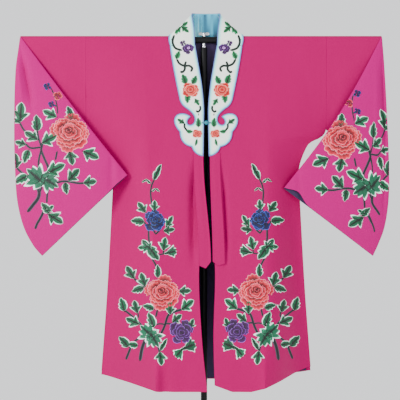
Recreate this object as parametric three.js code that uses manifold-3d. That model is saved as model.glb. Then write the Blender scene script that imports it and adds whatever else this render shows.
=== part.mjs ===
// A woman's opera robe, the kind worn open down the front as a cape, hung on a black T-stand.
// Millimetres, +Z up. The front faces -Y, and left and right are the wearer's, so right is -X.
// The origin is the centre of the stand's base, on the floor.
import * as THREE from 'three';
import { mergeVertices } from 'three/addons/utils/BufferGeometryUtils.js';
import Module from 'manifold-3d';

const wasm = await Module();
wasm.setup();

// Driving dimensions
const shoulderHeight = 1460; // floor to the top of the cloth over the crossbar
const garmentX = 6; // the robe hangs a little to its left of the post
const cloth = 2; // silk, interlining and hem of a panel
const liningThickness = 1.2;
const seamGap = 0.3;
const barRadius = 9.5;
const barHalfLength = 498;
const overBarRadius = 12.1; // outside of the cloth where it lies over the bar
const barHeight = shoulderHeight - overBarRadius;
const sleeveSeam = 360; // half of one 720 mm loom width
const sleeveDepthAtSeam = 282;
const underarmDrop = 408;
const robeLength = 1046;

// The hang of the body below the shoulder line. Widths are half widths from the robe's
// centre, depths are forward of the bar for the front and behind it for the rest.
const hang = [
  { drop: 12.1, front: 12.1, side: 0, back: 12.1, halfWidth: 360 },
  { drop: 26, front: 13.6, side: 0, back: 13.2, halfWidth: 360 },
  { drop: 282, front: 37.4, side: 0, back: 31, halfWidth: 360 },
  { drop: 408, front: 49.1, side: 0, back: 41, halfWidth: 277 },
  { drop: 600, front: 72, side: 3, back: 60, halfWidth: 287 },
  { drop: 800, front: 96, side: 7, back: 82, halfWidth: 298 },
  { drop: 1046, front: 124, side: 12, back: 108, halfWidth: 315 },
];

// The curved underarm, between the sleeve's lower seam and the side seam. The right one is
// drawn up under the folded sleeve.
const underarm = {
  right: [
    { drop: 282, halfWidth: 360 },
    { drop: 292, halfWidth: 348 },
    { drop: 312, halfWidth: 333 },
    { drop: 340, halfWidth: 311 },
    { drop: 372, halfWidth: 290 },
    { drop: 408, halfWidth: 277 },
  ],
  left: [
    { drop: 282, halfWidth: 360 },
    { drop: 292, halfWidth: 338 },
    { drop: 312, halfWidth: 314 },
    { drop: 340, halfWidth: 297 },
    { drop: 372, halfWidth: 284 },
    { drop: 408, halfWidth: 277 },
  ],
};

// Front edges, measured towards the wearer's own side. A minus lies past the centre.
const opening = {
  right: [
    { drop: 0, edge: 104 },
    { drop: 40, edge: 98 },
    { drop: 183, edge: 62 },
    { drop: 300, edge: 14 },
    { drop: 360, edge: 9 },
    { drop: 560, edge: 15 },
    { drop: 720, edge: 21 },
    { drop: 900, edge: 12 },
    { drop: 1046, edge: -3 },
  ],
  left: [
    { drop: 0, edge: 104 },
    { drop: 40, edge: 98 },
    { drop: 183, edge: 62 },
    { drop: 300, edge: 14 },
    { drop: 360, edge: 11 },
    { drop: 560, edge: 18 },
    { drop: 720, edge: 26 },
    { drop: 900, edge: 21 },
    { drop: 1046, edge: 24 },
  ],
};

// How each front hangs: where its broad fold runs, how far the hem climbs to the side seam
// and how deep its soft upright folds are.
const fronts = {
  right: { ridgeTop: 190, ridgeHem: 133, hemRise: 29, foldDepth: 3, foldPhase: 0.2 },
  left: { ridgeTop: 190, ridgeHem: 166, hemRise: 53, foldDepth: 4, foldPhase: 0.65 },
};
const backRidge = { ridgeTop: 200, ridgeHem: 160, hemRise: 41, foldDepth: 5, foldPhase: 0.4 };

// Each sleeve: the point where it leaves the bar's end, the outline of the fold that hangs
// from there, and the two corners of its mouth.
const sleeves = {
  right: {
    outline: [
      { drop: 6, out: 556 },
      { drop: 108, out: 569 },
      { drop: 282, out: 573 },
      { drop: 430, out: 569 },
      { drop: 504, out: 562 },
      { drop: 576, out: 543 },
      { drop: 630, out: 514 },
      { drop: 659, out: 489 },
    ],
    mouthTop: { out: 233, forward: 37, drop: 418 },
    edgeSag: 3,
  },
  left: {
    outline: [
      { drop: 6, out: 526 },
      { drop: 108, out: 534 },
      { drop: 282, out: 543 },
      { drop: 430, out: 547 },
      { drop: 504, out: 544 },
      { drop: 576, out: 532 },
      { drop: 624, out: 514 },
      { drop: 659, out: 498 },
    ],
    mouthTop: { out: 230, forward: 37, drop: 457 },
    edgeSag: 16,
  },
};

const clamp01 = (t) => Math.min(1, Math.max(0, t));
const mix = (a, b, t) => a + (b - a) * t;
const ease = (t) => t * t * (3 - 2 * t);

// Reads a table at a place between its rows, on a smooth curve through them.
function read(table, at, from, value) {
  const last = table.length - 1;
  if (at <= table[0][from]) return table[0][value];
  if (at >= table[last][from]) return table[last][value];
  const i = table.findIndex((row, k) => k < last && at < table[k + 1][from]);
  const slope = (k) => {
    const a = table[Math.max(0, k - 1)];
    const b = table[Math.min(last, k + 1)];
    return (b[value] - a[value]) / (b[from] - a[from]);
  };
  const [p, q] = [table[i], table[i + 1]];
  const h = q[from] - p[from];
  const t = (at - p[from]) / h;
  const rise = (q[value] - p[value]) / h;
  const steep = (m) => (rise === 0 ? 0 : Math.sign(rise) * Math.min(Math.abs(m), 3 * Math.abs(rise)));
  const m0 = steep(slope(i) * Math.sign(rise) > 0 ? slope(i) : 0);
  const m1 = steep(slope(i + 1) * Math.sign(rise) > 0 ? slope(i + 1) : 0);
  const t2 = t * t;
  const t3 = t2 * t;
  return (
    (2 * t3 - 3 * t2 + 1) * p[value] + (t3 - 2 * t2 + t) * h * m0
    + (3 * t2 - 2 * t3) * q[value] + (t3 - t2) * h * m1
  );
}

// A closed wall between two grids of points, its first grid facing out.
// Both are grid[row][column], and the columns run to the viewer's right of the outward side.
function wall(outer, inner) {
  const rows = outer.length;
  const columns = outer[0].length;
  const vertices = [...outer.flat(), ...inner.flat()];
  const at = (layer, r, c) => layer * rows * columns + r * columns + c;
  const faces = [];
  const quad = (a, b, c, d) => faces.push(a, b, c, a, c, d);
  for (let r = 0; r < rows - 1; r++) {
    for (let c = 0; c < columns - 1; c++) {
      quad(at(0, r, c), at(0, r + 1, c), at(0, r + 1, c + 1), at(0, r, c + 1));
      quad(at(1, r, c), at(1, r, c + 1), at(1, r + 1, c + 1), at(1, r + 1, c));
    }
    quad(at(0, r, 0), at(1, r, 0), at(1, r + 1, 0), at(0, r + 1, 0));
    const end = columns - 1;
    quad(at(0, r, end), at(0, r + 1, end), at(1, r + 1, end), at(1, r, end));
  }
  for (let c = 0; c < columns - 1; c++) {
    const end = rows - 1;
    quad(at(0, 0, c), at(0, 0, c + 1), at(1, 0, c + 1), at(1, 0, c));
    quad(at(0, end, c), at(1, end, c), at(1, end, c + 1), at(0, end, c + 1));
  }
  return geometryOf(vertices, faces);
}

// A sock: outer rings from the closed end to the mouth, then inner rings back inside.
function sock(outer, inner) {
  const rings = [...outer, ...inner.slice().reverse()];
  const n = rings[0].length;
  const vertices = rings.flat();
  const faces = [];
  for (let r = 0; r < rings.length - 1; r++) {
    for (let i = 0; i < n; i++) {
      const j = (i + 1) % n;
      faces.push(r * n + i, r * n + j, (r + 1) * n + j, r * n + i, (r + 1) * n + j, (r + 1) * n + i);
    }
  }
  for (const [ring, turned] of [[0, false], [rings.length - 1, true]]) {
    const middle = vertices.length;
    vertices.push(centreOf(rings[ring]));
    for (let i = 0; i < n; i++) {
      const j = (i + 1) % n;
      if (turned) faces.push(middle, ring * n + i, ring * n + j);
      else faces.push(middle, ring * n + j, ring * n + i);
    }
  }
  return geometryOf(vertices, faces);
}

const centreOf = (ring) => [0, 1, 2].map((k) => ring.reduce((sum, p) => sum + p[k], 0) / ring.length);

// Faces are turned as a whole if they enclose a negative volume, as on a mirrored piece.
function geometryOf(vertices, faces) {
  let volume = 0;
  for (let i = 0; i < faces.length; i += 3) {
    const [a, b, c] = [0, 1, 2].map((k) => new THREE.Vector3(...vertices[faces[i + k]]));
    volume += a.dot(b.cross(c));
  }
  const turned = [];
  for (let i = 0; i < faces.length; i += 3) {
    if (volume < 0) turned.push(faces[i], faces[i + 2], faces[i + 1]);
    else turned.push(faces[i], faces[i + 1], faces[i + 2]);
  }
  const geometry = new THREE.BufferGeometry();
  geometry.setAttribute('position', new THREE.Float32BufferAttribute(vertices.flat(), 3));
  geometry.setIndex(turned);
  return geometry;
}

// Materials
const finish = (color, roughness, metalness = 0) =>
  new THREE.MeshStandardMaterial({ color, roughness, metalness });
const silk = finish(0xee0080, 0.45);
const sleeveSilk = finish(0xff1496, 0.45);
const liningSilk = finish(0x23102e, 0.4);
const collarSatin = finish(0xeef7f4, 0.5);
const collarTeal = finish(0x5ba1ba, 0.4);
const standBlack = finish(0x0b0b0d, 0.35, 0.4);
const standChrome = finish(0xc8c8cc, 0.15, 1);

const robe = new THREE.Group();
function add(name, geometry, material) {
  const mesh = new THREE.Mesh(geometry, material);
  mesh.name = name;
  robe.add(mesh);
}

// Half the thickness of the sleeve between its front and back, below the bar
const sleeveHalfThickness = (down, depth) => mix(overBarRadius, 5, clamp01(down / depth));

const signOf = (side) => (side === 'right' ? -1 : 1);

// Where the outer boundary of the body lies at a drop
function bodyHalfWidth(side, drop) {
  if (drop <= sleeveDepthAtSeam) return sleeveSeam;
  if (drop < underarmDrop) return read(underarm[side], drop, 'drop', 'halfWidth');
  return read(hang, drop, 'drop', 'halfWidth');
}

// How far the cloth stands from the bar's plane at a place on the body, x from its centre
function bodyDepth(face, style, x, drop) {
  const across = Math.abs(x);
  const limit = bodyHalfWidth(x < 0 ? 'right' : 'left', drop);
  const ridge = mix(style.ridgeTop, style.ridgeHem, clamp01(drop / robeLength));
  const inward = clamp01((limit - across) / (limit - ridge));
  const middle = read(hang, drop, 'drop', face);
  const sleeveEdge = drop < sleeveDepthAtSeam
    ? sleeveHalfThickness(drop - overBarRadius, sleeveDepthAtSeam - overBarRadius)
      * Math.sqrt(clamp01((sleeveDepthAtSeam - drop) / 40))
    : 0;
  const side = read(hang, drop, 'drop', 'side') * (face === 'front' ? -1 : 1);
  const edge = Math.max(sleeveEdge, seamGap / 2 + cloth) + side;
  const falling = clamp01((drop - 350) / 500) * Math.sin(Math.PI * inward);
  const folds = style.foldDepth * falling * Math.cos(2 * Math.PI * (across / 150 + style.foldPhase));
  return mix(edge, middle, mix(inward, ease(inward), 0.55)) + folds;
}

// A point of the front or back of the body. Path is measured from the top of the shoulder
// fold, over the bar and down, and lift is how far the point is raised off the panel.
function bodyPoint(face, style, x, path, lift) {
  const forward = face === 'front' ? -1 : 1;
  const quarter = (overBarRadius * Math.PI) / 2;
  if (path < quarter) {
    const angle = path / overBarRadius;
    const radius = overBarRadius + lift;
    const y = Math.max(radius * Math.sin(angle), seamGap / 2);
    return [garmentX + x, forward * y, barHeight + radius * Math.cos(angle)];
  }
  const drop = overBarRadius + path - quarter;
  const depth = bodyDepth(face, style, x, drop) + lift;
  return [garmentX + x, forward * depth, shoulderHeight - drop];
}

const pathOfDrop = (drop) => drop - overBarRadius + (overBarRadius * Math.PI) / 2;
const dropOfPath = (path) => Math.max(0, path - pathOfDrop(0));

const panelRows = [
  ...[0, 0.25, 0.5, 0.75, 1].map((share) => share * pathOfDrop(overBarRadius)),
  ...[26, 60, 120, 190, 250, 282, 312, 340, 372, 408, 480, 560, 645, 730, 815, 900, 975, 1036, 1046]
    .map(pathOfDrop),
];

// How far the hem climbs towards the side seam
function hemClimb(style, across, drop) {
  const outward = clamp01((across - 130) / 180);
  return style.hemRise * outward ** 1.3 * clamp01((drop - underarmDrop) / (robeLength - underarmDrop));
}

// Front panel of one side, from the front edge out to the sleeve seam and side seam
function frontPanel(side) {
  const sign = signOf(side);
  const style = fronts[side];
  const columns = 13;
  const grid = (lift) => panelRows.map((path) =>
    Array.from({ length: columns + 1 }, (_, c) => {
      const drop = dropOfPath(path);
      const edge = read(opening[side], drop, 'drop', 'edge');
      const across = mix(edge, bodyHalfWidth(side, drop) - seamGap / 2, c / columns);
      return bodyPoint('front', style, sign * across, path - hemClimb(style, across, drop), lift);
    }));
  return wall(grid(0), grid(-cloth));
}

// Across the back, the columns crowd at the corners of the neckline.
const backColumns = [360, 346, 320, 294, 267, 240, 213, 186, 159, 132, 106, 79, 53, 26]
  .flatMap((x) => [-x, x])
  .concat(0)
  .sort((a, b) => a - b);
const neckHalfWidth = 101;
const neckDrop = 16; // the back neckline, down from the top of the shoulder fold

function backPanel(lift, thickness, rows, columns) {
  const grid = (raised) => rows
    .map((path) => columns.map((column) => {
      const drop = dropOfPath(path);
      const limit = bodyHalfWidth(column < 0 ? 'right' : 'left', drop) - seamGap / 2;
      const across = (Math.abs(column) / sleeveSeam) * limit;
      const climb = hemClimb(backRidge, across, drop);
      return bodyPoint('back', backRidge, Math.sign(column) * across, path - climb, raised);
    }));
  const neck = new THREE.BoxGeometry(2 * neckHalfWidth, 60, 2 * neckDrop);
  neck.translate(garmentX, 0, shoulderHeight);
  return geometryOfSolid(solidOf(wall(grid(lift), grid(lift - thickness))).subtract(solidOf(neck)));
}

// The sleeve's upper part: a flattened tube over the bar, closed by the fold at its outer end
function sleeveUpper(side) {
  const sign = signOf(side);
  const { outline } = sleeves[side];
  const topOut = outline[0].out;
  const tip = outline[outline.length - 1];
  const sections = [
    { along: 0, tipShare: 0, depth: sleeveDepthAtSeam, fat: 1 },
    { along: 0.24, tipShare: 0.12, depth: 292, fat: 1.1 },
    { along: 0.47, tipShare: 0.3, depth: 325, fat: 1.15 },
    { along: 0.67, tipShare: 0.52, depth: 395, fat: 1.2 },
    { along: 0.83, tipShare: 0.74, depth: 495, fat: 1.1 },
    { along: 0.93, tipShare: 0.91, depth: 590, fat: 0.95 },
    { along: 0.985, tipShare: 0.98, depth: 644, fat: 0.7 },
  ];
  const span = topOut - sleeveSeam - seamGap;
  // Steps down the section, as the half thickness there and the distance below the bar's centre
  const ringOf = (section, inset) => {
    const topX = sleeveSeam + seamGap / 2 + span * section.along;
    const bottomX = mix(sleeveSeam + seamGap / 2, tip.out - 6, section.tipShare);
    const radius = overBarRadius - inset;
    const place = (down, half, front) => {
      const share = clamp01(down / section.depth);
      const bow = section.along ** 3 * (read(outline, down, 'drop', 'out') - mix(topOut, tip.out, down / tip.drop));
      const out = mix(topX, bottomX, share) + bow - (section.along > 0.9 ? 5 : 0);
      const pleat = 9 * section.along * share * Math.sin(2 * Math.PI * (1.6 * section.along + 0.15));
      return [garmentX + sign * out, (front ? -half : half) + pleat * 0.6 + 4 * share * section.along,
        shoulderHeight - down];
    };
    const arc = [0, 30, 60, 90].map((degrees) => {
      const angle = (degrees * Math.PI) / 180;
      return { down: overBarRadius - radius * Math.cos(angle), half: radius * Math.sin(angle) };
    });
    const lower = [0.14, 0.3, 0.48, 0.66, 0.84, 0.96].map((share) => ({
      down: mix(overBarRadius, section.depth, share),
      half: (mix(overBarRadius, 5, share) * mix(1, section.fat, share) - inset) * (share > 0.9 ? 0.8 : 1),
    }));
    const end = { down: section.depth - inset, half: 0 };
    const steps = [...arc, ...lower];
    return [
      ...steps.map(({ down, half }) => place(down, half, true)),
      place(end.down, 0, true),
      ...steps.slice(1).reverse().map(({ down, half }) => place(down, half, false)),
    ];
  };
  const outer = sections.map((section) => ringOf(section, 0)).reverse();
  const inner = sections.slice(0, -1).map((section) => ringOf(section, cloth)).reverse();
  return sock(outer, inner);
}

// The sleeve's end, folded forward over the bar's end and hanging from it. It runs from a
// narrow point at the bar to the open mouth, between the fold line and the top edge.
function sleeveEnd(side) {
  const sign = signOf(side);
  const { outline, mouthTop, edgeSag } = sleeves[side];
  const apex = { out: outline[0].out - 4, forward: 14.4, drop: 12 };
  const tip = outline[outline.length - 1];
  const steps = [0.03, 0.1, 0.2, 0.32, 0.44, 0.56, 0.68, 0.8, 0.91, 1];
  const around = 22;
  const ringOf = (t, inset) => {
    const dropAtFold = mix(apex.drop, tip.drop, t);
    const fold = { out: read(outline, dropAtFold, 'drop', 'out'), forward: mix(apex.forward, 17, t), drop: dropAtFold };
    const sag = edgeSag * Math.sin(Math.PI * t);
    const edge = {
      out: mix(apex.out, mouthTop.out, t) + sag,
      forward: mix(apex.forward, mouthTop.forward, t),
      drop: mix(apex.drop, mouthTop.drop, t) + sag * 0.6,
    };
    const length = Math.hypot(fold.out - edge.out, fold.drop - edge.drop);
    const open = mix(2.6, 9, t ** 0.8);
    return Array.from({ length: around }, (_, i) => {
      const angle = (2 * Math.PI * i) / around;
      const share = (1 - Math.cos(angle)) / 2;
      const trimmed = mix(inset / length, 1 - inset / length, share);
      const half = (open - inset) * Math.abs(Math.sin(angle)) ** 0.55 * Math.sign(Math.sin(angle));
      const belly = 12 * Math.sin(Math.PI * share) * t;
      return [
        garmentX + sign * mix(edge.out, fold.out, trimmed),
        -mix(edge.forward, fold.forward, trimmed) - belly - half,
        shoulderHeight - mix(edge.drop, fold.drop, trimmed),
      ];
    });
  };
  const outer = steps.map((t) => ringOf(t, 0));
  const inner = steps.filter((t) => t > 0.15).map((t) => ringOf(t, 1.6));
  return sock(outer, inner);
}

// The collar's flat front with its cloud-shaped end, drawn from its centre edge outwards.
// Across is from the robe's centre, and drop is from the shoulder line.
function collarOutline(sign) {
  const shape = new THREE.Shape();
  const at = (across, drop) => [sign * across, -drop];
  shape.moveTo(...at(34, collarTop));
  shape.lineTo(...at(108, collarTop));
  shape.quadraticCurveTo(...at(100, 90), ...at(79, 186));
  shape.quadraticCurveTo(...at(76, 208), ...at(58, 219));
  shape.bezierCurveTo(...at(40, 232), ...at(30, 244), ...at(33, 258));
  shape.bezierCurveTo(...at(37, 273), ...at(55, 274), ...at(57, 262));
  shape.quadraticCurveTo(...at(57, 252), ...at(47, 245));
  shape.bezierCurveTo(...at(56, 236), ...at(76, 232), ...at(87, 241));
  shape.bezierCurveTo(...at(100, 254), ...at(92, 274), ...at(77, 290));
  shape.bezierCurveTo(...at(77, 312), ...at(66, 330), ...at(42, 334));
  shape.quadraticCurveTo(...at(34, 358), ...at(9, 362));
  shape.lineTo(...at(7, 230));
  shape.quadraticCurveTo(...at(8, 186), ...at(16, 132));
  shape.closePath();
  return shape;
}

const collarThickness = 2.4;
const collarTop = 26; // the flat front starts this far below the shoulder line
const collarLean = 0.0929; // the chest of the robe comes forward this much for each mm down

function solidOf(geometry) {
  const bare = geometry.index ? geometry.toNonIndexed() : geometry.clone();
  bare.deleteAttribute('normal');
  bare.deleteAttribute('uv');
  const merged = mergeVertices(bare, 1e-4);
  return new wasm.Manifold(new wasm.Mesh({
    numProp: 3,
    vertProperties: merged.attributes.position.array,
    triVerts: new Uint32Array(merged.index.array),
  }));
}

function geometryOfSolid(solid) {
  const mesh = solid.getMesh();
  const geometry = new THREE.BufferGeometry();
  geometry.setAttribute('position', new THREE.BufferAttribute(mesh.vertProperties, 3));
  geometry.setIndex(new THREE.BufferAttribute(mesh.triVerts, 1));
  return geometry;
}

// How far forward the collar's front stands at a drop, at its back face
const collarForward = (drop) => 14.4 + (drop - collarTop) * collarLean;

function collarFront(sign) {
  const geometry = new THREE.ExtrudeGeometry(collarOutline(sign), {
    depth: collarThickness, bevelEnabled: false, curveSegments: 7,
  });
  const position = geometry.attributes.position;
  for (let i = 0; i < position.count; i++) {
    const [x, up, out] = [position.getX(i), position.getY(i), position.getZ(i)];
    position.setXYZ(i, garmentX + x, -collarForward(-up) - out, shoulderHeight + up);
  }
  return geometry;
}

// The band round the neck: the seam that joins it to the robe, and its free edge
const neckBand = [
  { seamX: 108, seamY: -15.7, seamUp: -30, freeX: 34, freeY: -15.7, freeUp: -30 },
  { seamX: 111, seamY: -14.4, seamUp: -12.1, freeX: 36, freeY: -15, freeUp: 10 },
  { seamX: 110, seamY: -10.8, seamUp: -1, freeX: 39, freeY: -12, freeUp: 36 },
  { seamX: 108, seamY: 0, seamUp: 2.5, freeX: 42, freeY: -3, freeUp: 57 },
  { seamX: 103, seamY: 10.3, seamUp: -1.8, freeX: 42, freeY: 11, freeUp: 68 },
  { seamX: 88, seamY: 14.6, seamUp: -14, freeX: 34, freeY: 22, freeUp: 70 },
  { seamX: 50, seamY: 14.8, seamUp: -24, freeX: 18, freeY: 25, freeUp: 70 },
  { seamX: 0.15, seamY: 14.8, seamUp: -24, freeX: 0.15, freeY: 26, freeUp: 70 },
];

// A grid on the neck band. Lift moves it outwards, away from the neck.
function neckGrid(sign, lift, shares) {
  const middle = (row, share) => new THREE.Vector3(
    garmentX + sign * mix(row.seamX, row.freeX, share),
    mix(row.seamY, row.freeY, share),
    shoulderHeight + mix(row.seamUp, row.freeUp, share),
  );
  const onBand = (k, share) => {
    const i = Math.min(neckBand.length - 1, Math.floor(k));
    const j = Math.min(neckBand.length - 1, i + 1);
    return middle(neckBand[i], share).lerp(middle(neckBand[j], share), k - i);
  };
  const halves = Array.from({ length: 2 * neckBand.length - 1 }, (_, i) => i / 2);
  return halves.map((k) => shares.map((share) => {
    const along = onBand(Math.min(k + 0.5, neckBand.length - 1), share).sub(onBand(Math.max(k - 0.5, 0), share));
    const up = onBand(k, 1).sub(onBand(k, 0));
    const outward = along.cross(up).normalize().multiplyScalar(sign * lift);
    if (k === neckBand.length - 1) outward.x = 0;
    return onBand(k, share).add(outward).toArray();
  }));
}

const bandShares = [0, 0.25, 0.5, 0.75, 1];

function collarHalf(side) {
  const sign = signOf(side);
  const band = wall(neckGrid(sign, collarThickness / 2, bandShares), neckGrid(sign, -collarThickness / 2, bandShares));
  return geometryOfSolid(solidOf(collarFront(sign)).add(solidOf(band)));
}

// The teal facing inside the band, from one side of the neck round to the other
function collarFacing() {
  const outside = -collarThickness / 2 - seamGap;
  const grid = (lift) => {
    const half = (sign) => neckGrid(sign, lift, [0.22, 0.48, 0.74, 0.985]).slice(3);
    const right = half(-1);
    const left = half(1).slice(0, -1).reverse();
    right[right.length - 1].forEach((point) => { point[0] = garmentX; });
    return [...right, ...left];
  };
  return wall(grid(outside), grid(outside - liningThickness));
}

// Two ties hang from under the cloud ends, each to a blunt point.
const ties = {
  right: { top: { inner: 8, outer: 37 }, foot: { inner: -7, outer: 22 }, end: 690, point: 12 },
  left: { top: { inner: 11, outer: 41 }, foot: { inner: 21, outer: 54 }, end: 684, point: 7 },
};

function tie(side) {
  const sign = signOf(side);
  const { top, foot, end, point } = ties[side];
  const rows = [366, 372, 408, 480, 560, 645, end];
  const grid = (lift) => rows.map((row) => [0, 0.33, 0.67, 1].map((c) => {
    const share = (row - rows[0]) / (end - rows[0]);
    const inner = mix(top.inner, foot.inner, ease(share));
    const outer = mix(top.outer, foot.outer, ease(share));
    const across = mix(inner, outer, c);
    const drop = row + (row === end ? point * (1 - Math.abs(2 * c - 0.8)) : 0);
    const forward = bodyDepth('front', fronts[side], sign * Math.max(across, 12), drop) + seamGap + lift;
    return [garmentX + sign * across, -forward, shoulderHeight - drop];
  }));
  return wall(grid(1.3), grid(0));
}

// The knot that closes the collar, with its loop across the gap
function collarKnot() {
  const knot = new THREE.SphereGeometry(6.5, 16, 10);
  knot.scale(1, 0.75, 1);
  const loop = new THREE.CapsuleGeometry(2, 24, 4, 8);
  loop.rotateZ(Math.PI / 2);
  const joined = solidOf(knot).add(solidOf(loop));
  const geometry = geometryOfSolid(joined);
  const drop = 263;
  geometry.translate(garmentX + 1, -collarForward(drop) - collarThickness - 2.4, shoulderHeight - drop);
  return geometry;
}

// Stand
const baseRadius = 205;
const baseThickness = 6;
const postRadius = 9.5;

function standBase() {
  const profile = [
    [0, 0], [baseRadius, 0], [baseRadius, baseThickness - 2], [baseRadius - 2, baseThickness],
    [26, baseThickness], [17, 22], [17, 58], [postRadius + 0.3, 58], [postRadius + 0.3, baseThickness], [0, baseThickness],
  ].map(([r, z]) => new THREE.Vector2(r, z));
  const geometry = new THREE.LatheGeometry(profile, 48);
  geometry.rotateX(Math.PI / 2);
  return geometry;
}

function standPost() {
  const foot = baseThickness + seamGap;
  const head = barHeight - barRadius - 14;
  const geometry = new THREE.CylinderGeometry(postRadius, postRadius, head - foot, 32, 1);
  geometry.rotateX(Math.PI / 2);
  geometry.translate(0, 0, (head + foot) / 2);
  return geometry;
}

// Chrome ferrule between the post and the bar
function standFerrule() {
  const low = barHeight - barRadius - 14 + seamGap;
  const high = barHeight - barRadius - seamGap;
  const profile = [[0, low], [7, low], [7, low + 4], [5, low + 6], [5, high], [0, high]]
    .map(([r, z]) => new THREE.Vector2(r, z));
  const geometry = new THREE.LatheGeometry(profile, 24);
  geometry.rotateX(Math.PI / 2);
  return geometry;
}

function standBar() {
  const geometry = new THREE.CylinderGeometry(barRadius, barRadius, 2 * barHalfLength, 24, 1);
  geometry.rotateZ(Math.PI / 2);
  geometry.translate(0, 0, barHeight);
  return geometry;
}

// Wing nut that holds the bar on the post's bolt
function standWingNut() {
  const low = barHeight + barRadius + seamGap;
  const profile = [[0, low], [5.5, low], [5.5, low + 5], [3.5, low + 7], [3.5, low + 12], [0, low + 12]]
    .map(([r, z]) => new THREE.Vector2(r, z));
  const hub = new THREE.LatheGeometry(profile, 20);
  hub.rotateX(Math.PI / 2);
  let nut = solidOf(hub);
  for (const sign of [-1, 1]) {
    const wing = new THREE.CylinderGeometry(5.5, 5.5, 2.4, 18);
    wing.scale(1.25, 1, 0.85);
    wing.translate(sign * 9.5, 0, low + 8.5);
    nut = nut.add(solidOf(wing));
  }
  return geometryOfSolid(nut);
}

for (const side of ['right', 'left']) {
  add(`front_${side}`, frontPanel(side), silk);
  add(`sleeve_${side}`, sleeveUpper(side), silk);
  add(`sleeve_end_${side}`, sleeveEnd(side), sleeveSilk);
  add(`collar_${side}`, collarHalf(side), collarSatin);
  add(`tie_${side}`, tie(side), silk);
}
add('back', backPanel(0, cloth, panelRows, backColumns), silk);
// The lining starts below the bar and stops short of the hem and of the side seams.
const liningRows = panelRows.slice(5, -1);
const liningColumns = backColumns.slice(1, -1);
add('lining_back', backPanel(-cloth - seamGap, liningThickness, liningRows, liningColumns), liningSilk);
add('collar_facing', collarFacing(), collarTeal);
add('collar_knot', collarKnot(), collarTeal);
add('stand_base', standBase(), standBlack);
add('stand_post', standPost(), standBlack);
add('stand_ferrule', standFerrule(), standChrome);
add('stand_bar', standBar(), standBlack);
add('stand_wing_nut', standWingNut(), standChrome);

export default robe;
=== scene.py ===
# %% [markdown]
# # An opera robe on its stand
#
# A woman's stage robe of hot pink silk hangs open down the front on a black T-shaped stand.
# Its wide sleeves are folded forward over the ends of the crossbar, and its white collar ends
# in two cloud shapes. Flowers in coloured silk are embroidered on the fronts, the sleeves and
# the collar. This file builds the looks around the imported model, which fixes every size.

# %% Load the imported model
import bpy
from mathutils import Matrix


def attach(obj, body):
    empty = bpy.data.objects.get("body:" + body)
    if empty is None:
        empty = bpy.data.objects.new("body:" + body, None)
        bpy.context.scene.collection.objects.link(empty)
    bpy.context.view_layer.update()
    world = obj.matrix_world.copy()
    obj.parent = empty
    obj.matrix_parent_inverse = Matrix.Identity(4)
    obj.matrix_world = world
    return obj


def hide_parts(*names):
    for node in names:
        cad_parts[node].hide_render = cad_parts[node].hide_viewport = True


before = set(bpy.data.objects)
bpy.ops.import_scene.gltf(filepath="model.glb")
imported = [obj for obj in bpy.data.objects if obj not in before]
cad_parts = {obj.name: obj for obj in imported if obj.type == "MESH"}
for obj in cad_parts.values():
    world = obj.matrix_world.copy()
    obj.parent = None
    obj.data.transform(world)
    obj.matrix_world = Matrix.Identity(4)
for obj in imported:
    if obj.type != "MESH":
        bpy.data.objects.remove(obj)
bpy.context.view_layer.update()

# %% Tools of the whole file
import math

import bmesh
import bpy
import numpy as np
from mathutils import Matrix, Vector
from mathutils.bvhtree import BVHTree
from mathutils.geometry import delaunay_2d_cdt

MM = 0.001
SIDES = {"right": -1, "left": 1}  # the wearer's sides
QUARTER_TURN = math.radians(90)


def deselect_all():
    """Leaves nothing selected, so that an operator acts only on what comes next."""
    if bpy.context.mode != "OBJECT":
        bpy.ops.object.mode_set(mode="OBJECT")
    bpy.ops.object.select_all(action="DESELECT")


def make_active(piece):
    """Selects one piece alone, as a click on it does."""
    deselect_all()
    piece.select_set(True)
    bpy.context.view_layer.objects.active = piece


def link_piece(name, data):
    """Puts an object with this data into the scene."""
    piece = bpy.data.objects.new(name, data)
    bpy.context.scene.collection.objects.link(piece)
    return piece


def mesh_piece(name, vertices, edges, faces):
    """A piece made from lists of vertices, edges and faces."""
    mesh = bpy.data.meshes.new(name)
    mesh.from_pydata(vertices, edges, faces)
    mesh.update()
    return link_piece(name, mesh)


def cylinder(radius, length, place, sides=64, rotation=(0, 0, 0)):
    """Adds a cylinder, with its sizes and its place in mm, and leaves it alone selected."""
    deselect_all()
    bpy.ops.mesh.primitive_cylinder_add(vertices=sides, radius=radius * MM, depth=length * MM,
                                        location=[c * MM for c in place], rotation=rotation)
    return bpy.context.object


def join_into(piece, other):
    """Joins another piece into this one, which keeps its name and its place."""
    make_active(piece)
    other.select_set(True)
    bpy.ops.object.join()


def apply_modifier(piece, kind, **settings):
    """Adds a modifier with these settings and applies it."""
    made = piece.modifiers.new(kind.title(), kind)
    for name, value in settings.items():
        setattr(made, name, value)
    make_active(piece)
    bpy.ops.object.modifier_apply(modifier=made.name)


def freeze(piece):
    """Moves a piece's place and size into its mesh, and leaves its object at the origin."""
    make_active(piece)
    bpy.ops.object.transform_apply(location=True, rotation=True, scale=True)


# %% [markdown]
# ## The camera and the room
#
# The robe was photographed square on, from about three metres, at the height of its middle.
# A long lens keeps the near hem and the far shoulder at nearly the same scale. At the bar the
# picture is 1.2 m wide, so a pixel of the 400 pixel frame is 3 mm there.

# %% Camera
PICTURE_PIXELS = 400
PIXEL = 3.0 * MM  # at the bar
PICTURE_WIDTH = PICTURE_PIXELS * PIXEL
CAMERA_DISTANCE = 3.2
PICTURE_CENTRE_X = -0.012
PICTURE_CENTRE_Z = 0.968
SENSOR = 36.0

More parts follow.
